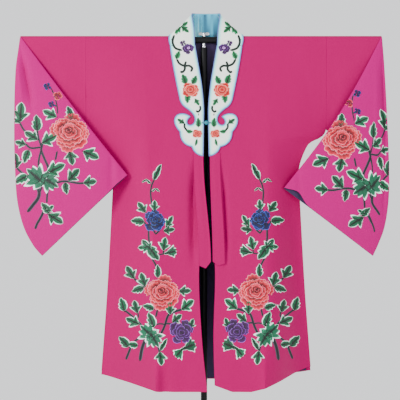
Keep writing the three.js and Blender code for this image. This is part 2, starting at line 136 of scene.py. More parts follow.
camera_data = bpy.data.cameras.new("camera")
camera_data.sensor_width = SENSOR
camera_data.lens = SENSOR * CAMERA_DISTANCE / PICTURE_WIDTH
camera = link_piece("camera", camera_data)
camera.location = (PICTURE_CENTRE_X, -CAMERA_DISTANCE, PICTURE_CENTRE_Z)
camera.rotation_euler = (QUARTER_TURN, 0, 0)
bpy.context.scene.camera = camera


def at_pixel(px, py):
    """The place on the bar's plane that a pixel of the 400 pixel frame shows, as (x, z)."""
    return (
        PICTURE_CENTRE_X + (px - PICTURE_PIXELS / 2) * PIXEL,
        PICTURE_CENTRE_Z - (py - PICTURE_PIXELS / 2) * PIXEL,
    )


print("lens", round(camera_data.lens, 1), "mm, shoulder line at", at_pixel(206, 36))

# %% [markdown]
# ## Shader maths
#
# A material is a small net of nodes. Wrapping a socket in a class lets the net be written as
# ordinary sums: `1 - mask * 0.5` adds the Math nodes by itself.


# %% A class for shader expressions
class Net:
    """The nodes of one material, and a short way to add more."""

    def __init__(self, name):
        self.material = bpy.data.materials.new(name)
        self.material.use_nodes = True
        self.tree = self.material.node_tree
        self.shader = self.tree.nodes["Principled BSDF"]

    def add(self, kind, values=None, **settings):
        """Adds a node. Settings come first, then the values or links of its sockets."""
        node = self.tree.nodes.new(kind)
        for name, value in settings.items():
            setattr(node, name, value)
        for socket, value in (values or {}).items():
            self.join(value, node.inputs[socket])
        return node

    def out(self, kind, output=0, values=None, **settings):
        return Value(self, self.add(kind, values, **settings).outputs[output])

    def join(self, value, socket):
        if isinstance(value, Value):
            self.tree.links.new(value.socket, socket)
        else:
            socket.default_value = value

    def set(self, **values):
        """Sets sockets of the Principled shader, whose names are given with underscores."""
        for name, value in values.items():
            self.join(value, self.shader.inputs[name.replace("_", " ")])

    def mix(self, share, first, second, blend_type="MIX"):
        """Mixes two colours."""
        node = self.add("ShaderNodeMix", data_type="RGBA", blend_type=blend_type)
        for place, value in ((0, share), (6, first), (7, second)):
            self.join(value, node.inputs[place])
        return Value(self, node.outputs[2])

    def ramp(self, value, *stops):
        """Turns a number into a colour, through stops of (place, colour)."""
        node = self.add("ShaderNodeValToRGB", {0: value})
        elements = node.color_ramp.elements
        for i, (place, colour) in enumerate(stops):
            element = elements[i] if i < 2 else elements.new(place)
            element.position = place
            element.color = colour
        return Value(self, node.outputs[0])

    def object_place(self, scale=(1, 1, 1)):
        """The object's own coordinates, scaled."""
        place = self.out("ShaderNodeTexCoord", "Object")
        return self.out("ShaderNodeMapping", 0, {"Vector": place, "Scale": scale})

    def noise(self, place, scale, detail=2.0, rough=0.5):
        return self.out("ShaderNodeTexNoise", 0,
                        {"Vector": place, "Scale": scale, "Detail": detail, "Roughness": rough})

    def bump(self, height, distance, strength=1.0):
        self.set(Normal=self.out("ShaderNodeBump", 0, {
            "Height": height, "Distance": distance, "Strength": strength}))


class Value:
    """A socket that can be used in sums."""

    def __init__(self, net, socket):
        self.net = net
        self.socket = socket

    def maths(self, operation, other, swapped=False):
        pair = (other, self) if swapped else (self, other)
        return self.net.out("ShaderNodeMath", 0, {0: pair[0], 1: pair[1]}, operation=operation)

    def __add__(self, other):
        return self.maths("ADD", other)

    __radd__ = __add__

    def __sub__(self, other):
        return self.maths("SUBTRACT", other)

    def __rsub__(self, other):
        return self.maths("SUBTRACT", other, swapped=True)

    def __mul__(self, other):
        return self.maths("MULTIPLY", other)

    __rmul__ = __mul__

    def sine(self):
        return self.maths("SINE", 0.0)


def colour(red, green, blue):
    """A screen colour of 0 to 255 as the linear colour that shaders use."""
    def linear(c):
        c = c / 255
        return c / 12.92 if c <= 0.04045 else ((c + 0.055) / 1.055) ** 2.4
    return (linear(red), linear(green), linear(blue), 1.0)


print("shader class ready, mid grey is", round(colour(128, 128, 128)[0], 3))

# %% [markdown]
# ## Silk
#
# The robe is silk satin: it is smooth and glows rather than shines, because its long floats of
# thread scatter the light along themselves. A fairly rough surface with a little sheen gives
# that. The weave is a fine bump on the object's own coordinates, and a slow noise stretched
# upright makes the colour darker in soft patches.


# %% Silk materials
WEAVE = 0.9 * MM  # spacing of the threads that can be told apart


def silk(name, base, dark, roughness=0.5, glow=(1, 0.05, 0.5, 1), sheen=0.04, gloss=0.14):
    """Dyed satin. The base turns to the darker colour in slow patches, and glow is the colour
    of its shine."""
    net = Net(name)
    patches = net.noise(net.object_place((1, 1, 0.35)), 7.0, 3.0)
    slubs = net.noise(net.object_place((260, 260, 12)), 1.0, 2.0)
    net.set(
        Base_Color=net.mix(patches * 0.6 + slubs * 0.25, base, dark),
        Roughness=slubs * 0.12 + (roughness - 0.06),
        Sheen_Weight=sheen,
        Sheen_Roughness=0.4,
        Sheen_Tint=glow,
        Specular_IOR_Level=gloss,
        Specular_Tint=glow,
    )
    parts = net.add("ShaderNodeSeparateXYZ", {0: net.object_place()})
    across = Value(net, parts.outputs[0]) + Value(net, parts.outputs[1])
    along = Value(net, parts.outputs[2])
    turn = 2 * math.pi / WEAVE
    net.bump((across * turn).sine() * 0.5 + (along * turn).sine() * 0.5 + slubs, 0.15 * MM, 0.3)
    return net.material


pink_silk = silk("pink_silk", colour(160, 0, 84), colour(146, 0, 74))
# The folded sleeve ends take a brighter, bluer copy of the same pink silk: painted light for the stronger
# sheen of the satin folded over the bar
sleeve_silk = silk("sleeve_silk", colour(168, 0, 104), colour(158, 0, 94))
lining_silk = silk("lining_silk", colour(60, 46, 76), colour(34, 26, 48), roughness=0.36,
                   glow=(0.6, 0.6, 0.8, 1))
white_rim = silk("lavender_rim", colour(190, 178, 220), colour(160, 150, 200), glow=(1, 1, 1, 1))
print("silk materials", [m.name for m in (pink_silk, sleeve_silk, lining_silk, white_rim)])

# %% [markdown]
# ## How the robe hangs
#
# The fronts and the back fall from the bar. Near the bar they almost touch, and at the hem
# they stand about 0.23 m apart. A table gives how far each one stands from the bar's plane at
# a few drops, and a smooth curve runs through its rows.


# %% The hang of the body
SHOULDER = 1460.0  # floor to the top of the cloth, mm
GARMENT_X = 6.0  # the robe's centre, towards the wearer's left of the post
CLOTH = 1.6  # thickness of a panel with its lining
OVER_BAR = 12.1  # radius of the cloth over the bar
BAR_HEIGHT = SHOULDER - OVER_BAR
SLEEVE_SEAM = 360.0  # out from the robe's centre
SLEEVE_DEPTH = 282.0  # drop of the sleeve seam's lower end
UNDERARM = 408.0  # drop at which the underarm's curve becomes the side seam
LENGTH = 1046.0
SEAM_HALF_GAP = 0.15  # from a seam to the panel on each side of it
SIDE_HALF_DEPTH = 2.15  # from the bar's plane to each panel at the side seam


def smooth(rows):
    """A smooth curve through a table's rows of (place, value), level beyond its ends."""
    at, value = np.array(rows, float).T
    rise = np.diff(value) / np.diff(at)
    slope = np.concatenate([rise[:1], (value[2:] - value[:-2]) / (at[2:] - at[:-2]), rise[-1:]])

    def read(x):
        x = np.asarray(x, float)
        i = np.clip(np.searchsorted(at, x, side="right") - 1, 0, len(rise) - 1)
        width = at[i + 1] - at[i]
        t = np.clip((x - at[i]) / width, 0, 1)
        climb = rise[i]
        starts, ends = (
            np.where(m * climb > 0, np.sign(climb) * np.minimum(abs(m), 3 * abs(climb)), 0)
            for m in (slope[i], slope[i + 1])
        )
        return (
            (2 * t**3 - 3 * t**2 + 1) * value[i] + (t**3 - 2 * t**2 + t) * width * starts
            + (3 * t**2 - 2 * t**3) * value[i + 1] + (t**3 - t**2) * width * ends
        )

    return read


def mix(a, b, t):
    return a + (b - a) * t


def ease(t):
    return t * t * (3 - 2 * t)


def clamp(t):
    return np.clip(t, 0, 1)


# Drop below the shoulder line, and depth forward of the bar or behind it
front_depth = smooth([(12.1, 12.1), (26, 13.6), (282, 37.4), (408, 49.1), (600, 72), (800, 96), (1046, 124)])
back_depth = smooth([(12.1, 12.1), (26, 13.2), (282, 31), (408, 41), (600, 60), (800, 82), (1046, 108)])
side_shift = smooth([(408, 0), (600, 3), (800, 7), (1046, 12)])
side_width = smooth([(408, 277), (600, 287), (800, 298), (1046, 315)])
UNDERARMS = {
    "right": smooth([(282, 360), (292, 348), (312, 333), (340, 311), (372, 290), (408, 277)]),
    "left": smooth([(282, 360), (298, 352), (310, 334), (320, 312), (348, 295), (380, 283), (408, 277)]),
}

# Drop, and distance of each front's edge from the robe's centre towards the wearer's side
EDGES = {
    "right": smooth([(0, 104), (40, 98), (183, 62), (300, 14), (360, 9), (560, 15), (720, 21), (900, 12),
                     (1046, -3)]),
    "left": smooth([(0, 104), (40, 98), (183, 62), (300, 14), (360, 11), (560, 18), (720, 26), (900, 21),
                    (1046, 24)]),
}

# Where the broad fold runs at the top and the hem, how far the hem climbs to the side seam
# and to the opening, and how deep the soft upright folds are
HANG = {
    "right": {"ridge_top": 190, "ridge_hem": 133, "hem_rise": 29, "fold_depth": 3, "fold_phase": 0.2},
    "left": {"ridge_top": 190, "ridge_hem": 166, "hem_rise": 53, "edge_rise": 19, "fold_depth": 4,
             "fold_phase": 0.65},
    "back": {"ridge_top": 200, "ridge_hem": 160, "hem_rise": 41, "fold_depth": 5, "fold_phase": 0.4},
}
FOLD_SPACING = 150.0
FOLDS_START = 350.0  # drop at which the upright folds begin
FOLDS_GROW = 500.0  # further drop over which they grow to their full depth


def half_width(x, drop):
    """How far the body's side is from the robe's centre, on the side that x lies."""
    curve = np.where(x < 0, UNDERARMS["right"](drop), UNDERARMS["left"](drop))
    below = np.where(drop < UNDERARM, curve, side_width(drop))
    return np.where(drop <= SLEEVE_DEPTH, SLEEVE_SEAM, below)


def sleeve_half(down):
    """Half of the sleeve's thickness at the seam."""
    return mix(OVER_BAR, 5, clamp((down - OVER_BAR) / (SLEEVE_DEPTH - OVER_BAR)))


def body_depth(face, style, x, drop):
    """How far the cloth stands from the bar's plane."""
    depth_at = front_depth if face == "front" else back_depth
    across = abs(x)
    limit = half_width(x, drop)
    ridge = mix(style["ridge_top"], style["ridge_hem"], clamp(drop / LENGTH))
    inward = clamp((limit - across) / (limit - ridge))
    at_sleeve = sleeve_half(drop) * np.sqrt(clamp((SLEEVE_DEPTH - drop) / 40))
    edge = np.maximum(np.where(drop < SLEEVE_DEPTH, at_sleeve, 0), SIDE_HALF_DEPTH)
    edge = edge + side_shift(drop) * np.where(drop > UNDERARM, 1, 0) * (-1 if face == "front" else 1)
    falling = clamp((drop - FOLDS_START) / FOLDS_GROW) * np.sin(np.pi * inward)
    turn = 2 * np.pi * (across / FOLD_SPACING + style["fold_phase"])
    folds = style["fold_depth"] * falling * np.cos(turn)
    return mix(edge, depth_at(drop), mix(inward, ease(inward), 0.55)) + folds


def body_points(face, style, x, path):
    """Points of a body panel. Path runs from the top of the bar down the cloth."""
    forward = -1 if face == "front" else 1
    quarter = OVER_BAR * np.pi / 2
    angle = np.minimum(path, quarter) / OVER_BAR
    drop = OVER_BAR + path - quarter
    over = path < quarter
    round_bar = np.maximum(OVER_BAR * np.sin(angle), SEAM_HALF_GAP)
    depth = np.where(over, round_bar, body_depth(face, style, x, drop))
    z = np.where(over, BAR_HEIGHT + OVER_BAR * np.cos(angle), SHOULDER - drop)
    return np.stack([GARMENT_X + x, forward * depth, z], axis=-1)


def path_of(drop):
    return drop - OVER_BAR + OVER_BAR * np.pi / 2


def drop_of(path):
    return np.maximum(0, path - path_of(0))


print("front stands", float(front_depth(1000)), "mm forward near the hem")

# %% [markdown]
# ## Cloth as thin shells
#
# Each panel starts as a grid of points on its outside. Faces join the points, the creases
# press it in or out, and the Solidify modifier gives it the thickness of silk, interlining and
# lining together. The inside of the shell takes the lining's material.


# %% Panels from grids of points
def grid_piece(name, points, round_it=False, cap=False):
    """A mesh from points[row][column]. Round it joins the last column to the first, and cap
    closes the first row."""
    rows, columns = points.shape[:2]
    vertices = points.reshape(-1, 3) * MM
    r, c = np.meshgrid(np.arange(rows - 1), np.arange(columns if round_it else columns - 1), indexing="ij")
    n = (c + 1) % columns
    faces = np.stack([r * columns + c, (r + 1) * columns + c, (r + 1) * columns + n, r * columns + n], -1)
    faces = faces.reshape(-1, 4).tolist()
    vertices = vertices.tolist()
    if cap:
        vertices.append((points[0].mean(0) * MM).tolist())
        faces += [[len(vertices) - 1, i, (i + 1) % columns] for i in range(columns)]
    return mesh_piece(name, vertices, [], faces)


def turn_outwards(piece, outward):
    """Turns all the faces over if they point away from the outward side on the whole."""
    total = sum((Vector(face.normal) * face.area for face in piece.data.polygons), Vector())
    if total.dot(Vector(outward)) < 0:
        piece.data.flip_normals()


def press(piece, creases, forward):
    """Presses soft creases into a panel. Each crease runs between two pixels of the picture,
    and its depth is how far it stands out of the cloth, or goes in where it is below zero. A
    roundness of 1 gives the crest of a pressed fold, and 2 a soft one."""
    places = np.empty(3 * len(piece.data.vertices))
    piece.data.vertices.foreach_get("co", places)
    places = places.reshape(-1, 3)
    rise = np.zeros(len(places))
    for crease in creases:
        start = np.array(at_pixel(*crease["start"]))
        along = np.array(at_pixel(*crease["end"])) - start
        length = np.hypot(*along)
        x, z = (places[:, [0, 2]] - start).T
        t = (x * along[0] + z * along[1]) / length**2
        beside = (x * along[1] - z * along[0]) / length
        beside = beside - crease.get("bow", 0) * MM * np.sin(np.pi * clamp(t))
        fade = crease.get("fade", 0.35)
        ends = clamp(np.minimum(t, 1 - t) / fade)
        reach = abs(beside) / (crease["width"] * MM)
        rise += crease["depth"] * ease(ends) * np.exp(-(reach ** crease.get("roundness", 2)))
    places[:, 1] += forward * rise * MM
    piece.data.vertices.foreach_set("co", places.ravel())
    piece.data.update()


def finish_cloth(piece, materials, thickness=CLOTH):
    """Gives a panel its thickness, its materials and a smooth surface."""
    for material in materials:
        piece.data.materials.append(material)
    last = len(materials) - 1
    apply_modifier(piece, "SOLIDIFY", thickness=thickness * MM, offset=-1, use_rim=True,
                   material_offset=min(1, last), material_offset_rim=max(0, last - 1))
    make_active(piece)
    bpy.ops.object.shade_smooth_by_angle(angle=math.radians(40))
    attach(piece, "root")


# %% [markdown]
# ## The two fronts
#
# Each front is one loom width cut down the middle. It hangs in a flat middle and a side that
# turns away from the viewer at a long soft ridge, which shows as a change of shade above the
# hem. Beside the ties the cloth is drawn into narrow troughs.

# %% Fronts
FRONT_CREASES = {
    "right": [
        {"start": (194.5, 154), "end": (195, 276), "depth": -14.0, "width": 11, "bow": 4},
        {"start": (199, 168), "end": (199, 284), "depth": 2.0, "width": 14},
        {"start": (157.5, 338), "end": (158.5, 420), "depth": 16.0, "width": 16, "fade": 0.5,
         "roundness": 1},
        {"start": (165, 340), "end": (166, 420), "depth": -9.0, "width": 18, "fade": 0.5},
        {"start": (150, 190), "end": (157, 330), "depth": 1.6, "width": 20},
        {"start": (133, 352), "end": (128, 398), "depth": -3.0, "width": 22, "fade": 0.7},
        {"start": (184, 344), "end": (186, 398), "depth": -2.5, "width": 26, "fade": 0.7},
        {"start": (118, 215), "end": (112, 340), "depth": -2.5, "width": 18},
        {"start": (172, 120), "end": (140, 200), "depth": -1.6, "width": 24},
        {"start": (104, 150), "end": (122, 235), "depth": 2.0, "width": 20},
    ],
    "left": [
        {"start": (219.5, 156), "end": (225.5, 278), "depth": -11.0, "width": 10, "bow": -3},
        {"start": (214, 168), "end": (216, 284), "depth": 2.0, "width": 14},
        {"start": (263, 342), "end": (262.6, 420), "depth": 12.0, "width": 16, "fade": 0.5, "roundness": 1},
        {"start": (292, 350), "end": (296, 396), "depth": -3.5, "width": 22, "fade": 0.7},
        {"start": (238, 348), "end": (236, 400), "depth": -2.5, "width": 26, "fade": 0.7},
        {"start": (294, 215), "end": (301, 340), "depth": -2.5, "width": 18},
        {"start": (240, 120), "end": (270, 200), "depth": -1.6, "width": 24},
        {"start": (306, 168), "end": (292, 240), "depth": 2.0, "width": 20},
    ],
}


HEM_LEVEL = 130.0  # out from the robe's centre to where the hem starts to climb
HEM_CLIMB = 180.0  # further out, over which it climbs


def body_rows(count):
    """Rows of a body panel, close together over the bar."""
    return np.concatenate([np.linspace(0, path_of(OVER_BAR), 9)[:-1],
                           path_of(np.linspace(OVER_BAR, LENGTH, count))])


def hem_climb(style, across, drop):
    """How far the hem climbs towards the side seam, and on one front towards the opening."""
    outward = clamp((across - HEM_LEVEL) / HEM_CLIMB)
    inward = clamp((75 - across) / 52)
    rise = style["hem_rise"] * outward**1.05 + style.get("edge_rise", 0) * inward
    return rise * clamp((drop - UNDERARM) / (LENGTH - UNDERARM))


def front_panel(side):
    style = HANG[side]
    sign = SIDES[side]
    path = body_rows(130)[:, None]
    drop = drop_of(path)
    edge = EDGES[side](drop)
    across = mix(edge, half_width(sign, drop) - SEAM_HALF_GAP, np.linspace(0, 1, 61)[None, :])
    points = body_points("front", style, sign * across, path - hem_climb(style, across, drop))
    piece = grid_piece(f"front_{side}_silk", points)
    turn_outwards(piece, (0, -1, 0))
    press(piece, FRONT_CREASES[side], -1)
    finish_cloth(piece, [pink_silk, lining_silk])
    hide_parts(f"front_{side}")
    return piece


fronts = {side: front_panel(side) for side in SIDES}
print("fronts", [len(p.data.vertices) for p in fronts.values()])

# %% [markdown]
# ## The back and its lining
#
# The back is cut on the full width of the cloth. It is hidden in the picture, so it hangs in
# a few soft upright folds like those of the fronts. Its dark lining shows in the opening.

# %% Back
BACK_CREASES = [
    {"start": (170, 150), "end": (160, 398), "depth": 3.5, "width": 20, "bow": 6},
    {"start": (206, 175), "end": (204, 398), "depth": -3.0, "width": 22},
    {"start": (244, 140), "end": (256, 398), "depth": 3.0, "width": 22, "bow": -6},
    {"start": (128, 170), "end": (122, 396), "depth": -3.0, "width": 18},
    {"start": (284, 175), "end": (292, 396), "depth": -3.5, "width": 20},
    {"start": (120, 60), "end": (150, 170), "depth": -2.0, "width": 26},
    {"start": (292, 60), "end": (262, 170), "depth": -2.0, "width": 26},
]
NECK_HALF_WIDTH = 101.0
NECK_DROP = 16.0
LINING_TOP = 18.0
LINING_HEM = LENGTH - 3
LINING_SHARE = 0.96  # of the back's width
LINING_GAP = 0.5


def cut_neck(piece):
    """Deletes what lies above the back neckline."""
    work = bmesh.new()
    work.from_mesh(piece.data)
    planes = [
        ((0, 0, (SHOULDER - NECK_DROP) * MM), (0, 0, 1)),
        (((GARMENT_X - NECK_HALF_WIDTH) * MM, 0, 0), (1, 0, 0)),
        (((GARMENT_X + NECK_HALF_WIDTH) * MM, 0, 0), (1, 0, 0)),
    ]
    for place, normal in planes:
        bmesh.ops.bisect_plane(work, geom=work.verts[:] + work.edges[:] + work.faces[:],
                               plane_co=place, plane_no=normal)
    gone = []
    for face in work.faces:
        middle = face.calc_center_median()
        beside = abs(middle.x - GARMENT_X * MM)
        if beside < NECK_HALF_WIDTH * MM and middle.z > (SHOULDER - NECK_DROP) * MM:
            gone.append(face)
    bmesh.ops.delete(work, geom=gone, context="FACES")
    work.to_mesh(piece.data)
    work.free()


def back_points(path, share):
    style = HANG["back"]
    path = path[:, None]
    drop = drop_of(path)
    across = abs(share)[None, :] * (half_width(share[None, :], drop) - SEAM_HALF_GAP)
    climb = hem_climb(style, across, drop)
    return body_points("back", style, np.sign(share)[None, :] * across, path - climb)


back = grid_piece("back_silk", back_points(body_rows(120), np.linspace(-1, 1, 111)))
turn_outwards(back, (0, 1, 0))
press(back, BACK_CREASES, 1)
cut_neck(back)
finish_cloth(back, [pink_silk, pink_silk])
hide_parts("back")

lining_rows = path_of(np.linspace(LINING_TOP, LINING_HEM, 112))
lining_shares = np.linspace(-LINING_SHARE, LINING_SHARE, 101)
lining = grid_piece("back_lining", back_points(lining_rows, lining_shares))
turn_outwards(lining, (0, 1, 0))
press(lining, BACK_CREASES, 1)
lining.data.transform(Matrix.Translation((0, -(CLOTH + LINING_GAP) * MM, 0)))
finish_cloth(lining, [lining_silk], thickness=0.8)
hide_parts("lining_back")
print("back", len(back.data.vertices), "lining", len(lining.data.vertices))

# %% [markdown]
# ## The sleeves
#
# A sleeve is a wide flat tube. The robe is broader than the bar, so each sleeve hangs over the
# bar's end and folds forward on itself: its upper part lies behind, and its mouth faces down
# and inwards in front. The two parts are separate shells that meet at the fold.

# %% Sleeve outlines
# Drop and distance out from the robe's centre, down the fold that hangs from the bar's end
FOLD_LINES = {
    "right": [(6, 556), (108, 569), (282, 573), (430, 569), (504, 562), (576, 543), (630, 514), (659, 489)],
    "left": [(6, 526), (108, 534), (282, 543), (430, 547), (504, 544), (576, 532), (624, 514), (659, 498)],
}
MOUTH_TOPS = {"right": (233, 37, 418), "left": (230, 37, 457)}  # out, forward, drop
EDGE_SAG = {"right": 3, "left": 16}
SEAM_LINE = SLEEVE_SEAM + SEAM_HALF_GAP
LAST_SECTION = 0.985  # share of the way from seam to end at which the shell is closed
MOUTH_GAPS = {"right": 0.004, "left": 0.03}

# Share of the way from seam to end, share of the way to the tip, depth and fatness
SLEEVE_SECTIONS = [
    (0, 0, 282, 1), (0.24, 0.12, 292, 1.1), (0.47, 0.3, 325, 1.15), (0.67, 0.52, 395, 1.2),
    (0.83, 0.74, 495, 1.1), (0.93, 0.91, 590, 0.95), (0.985, 0.98, 644, 0.7),
]
sleeve_tip_share, sleeve_depth, sleeve_fatness = (
    smooth([(row[0], row[k]) for row in SLEEVE_SECTIONS]) for k in (1, 2, 3)
)


def sleeve_upper(side):
    """The part over the bar, from the seam to the fold."""
    sign = SIDES[side]
    line = smooth(FOLD_LINES[side])
    top_out = FOLD_LINES[side][0][1]
    tip_drop, tip_out = FOLD_LINES[side][-1]
    along = np.concatenate([np.linspace(0, 0.9, 40), np.linspace(0.9, LAST_SECTION, 8)[1:]])[::-1, None]
    depth = sleeve_depth(along)
    arc = np.linspace(0, np.pi / 2, 8)[None, :]
    share = np.sin(np.linspace(0, np.pi / 2, 46)[1:-1])[None, :]
    low_half = mix(OVER_BAR, 5, share) * mix(1, sleeve_fatness(along), share)
    low_half = low_half * np.sqrt(clamp((1 - share) / 0.06))
    arc_down = OVER_BAR * (1 - np.cos(arc)) + 0 * along
    down = np.concatenate([arc_down, mix(OVER_BAR, depth, share), depth], axis=1)
    half = np.concatenate([OVER_BAR * np.sin(arc) + 0 * along, low_half, 0 * depth], axis=1)
    down = np.concatenate([down, down[:, 1:-1][:, ::-1]], axis=1)
    half = np.concatenate([-half, half[:, 1:-1][:, ::-1]], axis=1)
    part = clamp(down / depth)
    top_x = SEAM_LINE + (top_out - SLEEVE_SEAM - 2 * SEAM_HALF_GAP) * along / LAST_SECTION
    bottom_x = mix(SEAM_LINE, tip_out - 6, sleeve_tip_share(along))
    bow = along**3 * (line(down) - mix(top_out, tip_out, down / tip_drop))
    out = mix(top_x, bottom_x, part) + bow - 5 * clamp((along - 0.87) / 0.06) * clamp((down - 10) / 60)
    pleat = 9 * along * part * np.sin(2 * np.pi * (1.6 * along + 0.15))
    y = half + 0.6 * pleat + 4 * part * along
    points = np.stack([GARMENT_X + sign * out, y, SHOULDER - down], axis=-1)
    return grid_piece(f"sleeve_{side}_silk", points, round_it=True, cap=True)


def sleeve_end(side):
    """The part folded forward, from its point on the bar to its open mouth."""
    sign = SIDES[side]
    line = smooth(FOLD_LINES[side])
    top_out = FOLD_LINES[side][0][1]
    tip_drop, _ = FOLD_LINES[side][-1]
    mouth_out, mouth_forward, mouth_drop = MOUTH_TOPS[side]
    apex_out, apex_forward, apex_drop = top_out - 2, 13.4, 4
    angle = np.linspace(0, 2 * np.pi, 120, endpoint=False)[None, :]
    share = (1 - np.cos(angle)) / 2
    sine = np.sin(angle)
    # The front layer of the mouth is drawn back a little, so that the lining shows behind it
    drawn_back = MOUTH_GAPS[side] * np.exp(-(((share - 0.12) / 0.09) ** 2)) * (sine > 0)
    t = np.linspace(0.003, 1, 72)[:, None] * (1 - drawn_back)
    fold_drop = mix(apex_drop, tip_drop, t)
    fold_out = line(fold_drop)
    fold_forward = mix(apex_forward, 17, t)
    sag = EDGE_SAG[side] * np.sin(np.pi * t)
    edge_out = mix(apex_out, mouth_out, t) + sag
    edge_forward = mix(apex_forward, mouth_forward, t)
    edge_drop = mix(apex_drop, mouth_drop, t) + 0.6 * sag
    half_open = mix(0.8, 9, t**0.8)
    half = half_open * abs(sine) ** 0.55 * np.sign(sine)
    belly = 12 * np.sin(np.pi * share) * t
    points = np.stack([
        GARMENT_X + sign * mix(edge_out, fold_out, share),
        -mix(edge_forward, fold_forward, share) - belly - half,
        SHOULDER - mix(edge_drop, fold_drop, share),
    ], axis=-1)
    return grid_piece(f"sleeve_end_{side}_silk", points, round_it=True, cap=True)


def outwards_by_volume(piece):
    """Recalculates the faces of a closed or nearly closed shell so that they point out."""
    make_active(piece)
    bpy.ops.object.mode_set(mode="EDIT")
    bpy.ops.mesh.select_all(action="SELECT")
    bpy.ops.mesh.normals_make_consistent(inside=False)
    bpy.ops.object.mode_set(mode="OBJECT")


SLEEVE_END_CREASES = {
    "right": [
        {"start": (20, 42), "end": (35, 120), "depth": -10.0, "width": 8, "fade": 0.4, "roundness": 1.2},
        {"start": (17, 52), "end": (25, 118), "depth": 4.5, "width": 9, "fade": 0.4},
        {"start": (112.5, 154), "end": (112, 194), "depth": -5.0, "width": 6, "fade": 0.2, "roundness": 1},
        {"start": (118, 160), "end": (119, 186), "depth": 2.0, "width": 9, "fade": 0.4},
        {"start": (40, 90), "end": (60, 235), "depth": 1.5, "width": 26},
    ],
    "left": [
        {"start": (381, 50), "end": (384, 150), "depth": -8.0, "width": 6, "fade": 0.4, "roundness": 1.2},
        {"start": (376, 48), "end": (374, 190), "depth": 2.0, "width": 8, "fade": 0.4},
        {"start": (385, 90), "end": (382, 236), "depth": -6.0, "width": 6, "fade": 0.4, "roundness": 1.2},
        {"start": (296, 168), "end": (300, 206), "depth": -5.0, "width": 6, "fade": 0.2, "roundness": 1},
        {"start": (350, 90), "end": (340, 230), "depth": 1.5, "width": 26},
    ],
}
SLEEVE_CREASES = {
    "right": [
        {"start": (22, 40), "end": (80, 130), "depth": -2.0, "width": 12},
        {"start": (24, 38), "end": (112, 120), "depth": 1.6, "width": 18},
        {"start": (84, 38), "end": (84, 132), "depth": -0.4, "width": 3, "fade": 0.02},
    ],
    "left": [
        {"start": (380, 40), "end": (330, 130), "depth": -2.0, "width": 12},
        {"start": (378, 38), "end": (306, 118), "depth": 1.6, "width": 18},
        {"start": (326, 38), "end": (326, 132), "depth": -0.4, "width": 3, "fade": 0.02},
    ],
}
sleeve_ends = {}
for side in SIDES:
    upper = sleeve_upper(side)
    outwards_by_volume(upper)
    press(upper, SLEEVE_CREASES[side], -1)
    finish_cloth(upper, [pink_silk, lining_silk])
    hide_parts(f"sleeve_{side}")
    end = sleeve_end(side)
    outwards_by_volume(end)
    press(end, SLEEVE_END_CREASES[side], -1)
    # The folded end takes the brighter copy of the silk, which paints its stronger sheen
    finish_cloth(end, [sleeve_silk, lining_silk, white_rim])
    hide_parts(f"sleeve_end_{side}")
    sleeve_ends[side] = end
    print(side, "sleeve", len(upper.data.vertices), "end", len(end.data.vertices))

# %% [markdown]
# ## The collar
#
# The collar is white satin over a stiff core, cut as one broad band that runs round the neck
# and down both fronts, where it widens into a cloud with a small hook. It is drawn here as an
# outline of straight and curved stretches. A blue cord is sewn round its edge and lends the
# satin beside it a pale aqua glow.

# %% Collar materials
CORD_GLOW = 11.0  # mm from the edge over which the aqua fades

collar_net = Net("white_satin")
edge_distance = collar_net.out("ShaderNodeAttribute", 2, attribute_name="edge")
soft = collar_net.noise(collar_net.object_place(), 30.0, 2.0)
satin = collar_net.mix(soft, colour(246, 246, 238), colour(228, 236, 230))
share = edge_distance * (1 / CORD_GLOW) + soft * 0.3 - 0.15
tint = collar_net.ramp(share, (0.0, colour(84, 190, 214)), (0.28, colour(136, 232, 242)),
                       (0.55, colour(196, 248, 248)), (1.0, colour(250, 252, 248)))
collar_net.set(
    Base_Color=collar_net.mix(1.0, satin, tint, blend_type="MULTIPLY"),
    Roughness=0.5,
    Sheen_Weight=0.15,
    Specular_IOR_Level=0.35,
)
fine = collar_net.noise(collar_net.object_place((900, 900, 250)), 1.0, 2.0)
collar_net.bump(fine, 0.1 * MM, 0.4)
white_satin = collar_net.material

cord_net = Net("blue_cord")
twist = cord_net.noise(cord_net.object_place(), 900.0, 1.0)
cord_net.set(Base_Color=cord_net.mix(twist, colour(60, 82, 150), colour(110, 130, 190)), Roughness=0.5)
cord_net.bump(twist, 0.3 * MM, 0.6)
blue_cord = cord_net.material

teal_net = Net("teal_satin")
# Upright bands in the colour are painted shade and painted highlight for the satin's folds and sheen; the
# same bands also bump the surface
painted_sheen_bands = teal_net.noise(teal_net.object_place((42, 6, 5)), 1.0, 2.0, 0.6)
teal_net.set(
    Base_Color=teal_net.ramp(painted_sheen_bands, (0.3, colour(8, 48, 72)), (0.43, colour(34, 118, 148)),
                             (0.56, colour(60, 164, 192)), (0.66, colour(160, 240, 248))),
    Roughness=0.32,
    Sheen_Weight=0.2,
    Specular_IOR_Level=0.5,
)
teal_net.bump(painted_sheen_bands, 2.0 * MM, 0.35)
teal_satin = teal_net.material
print("collar materials", [m.name for m in (white_satin, blue_cord, teal_satin)])


# %% Collar outline
def bezier(controls, t):
    """A point on the straight, quadratic or cubic curve with these control points."""
    controls = [np.array(c, float) for c in controls]
    while len(controls) > 1:
        controls = [mix(a, b, t) for a, b in zip(controls, controls[1:])]
    return controls[0]


def stretches(start, steps, count=12):
    """Points along a row of curves, each given by its control points after the last end."""
    points = [np.array(start, float)]
    for step in steps:
        controls = [points[-1], *step]
        points += [bezier(controls, t) for t in np.linspace(0, 1, count + 1)[1:]]
    return np.array(points)


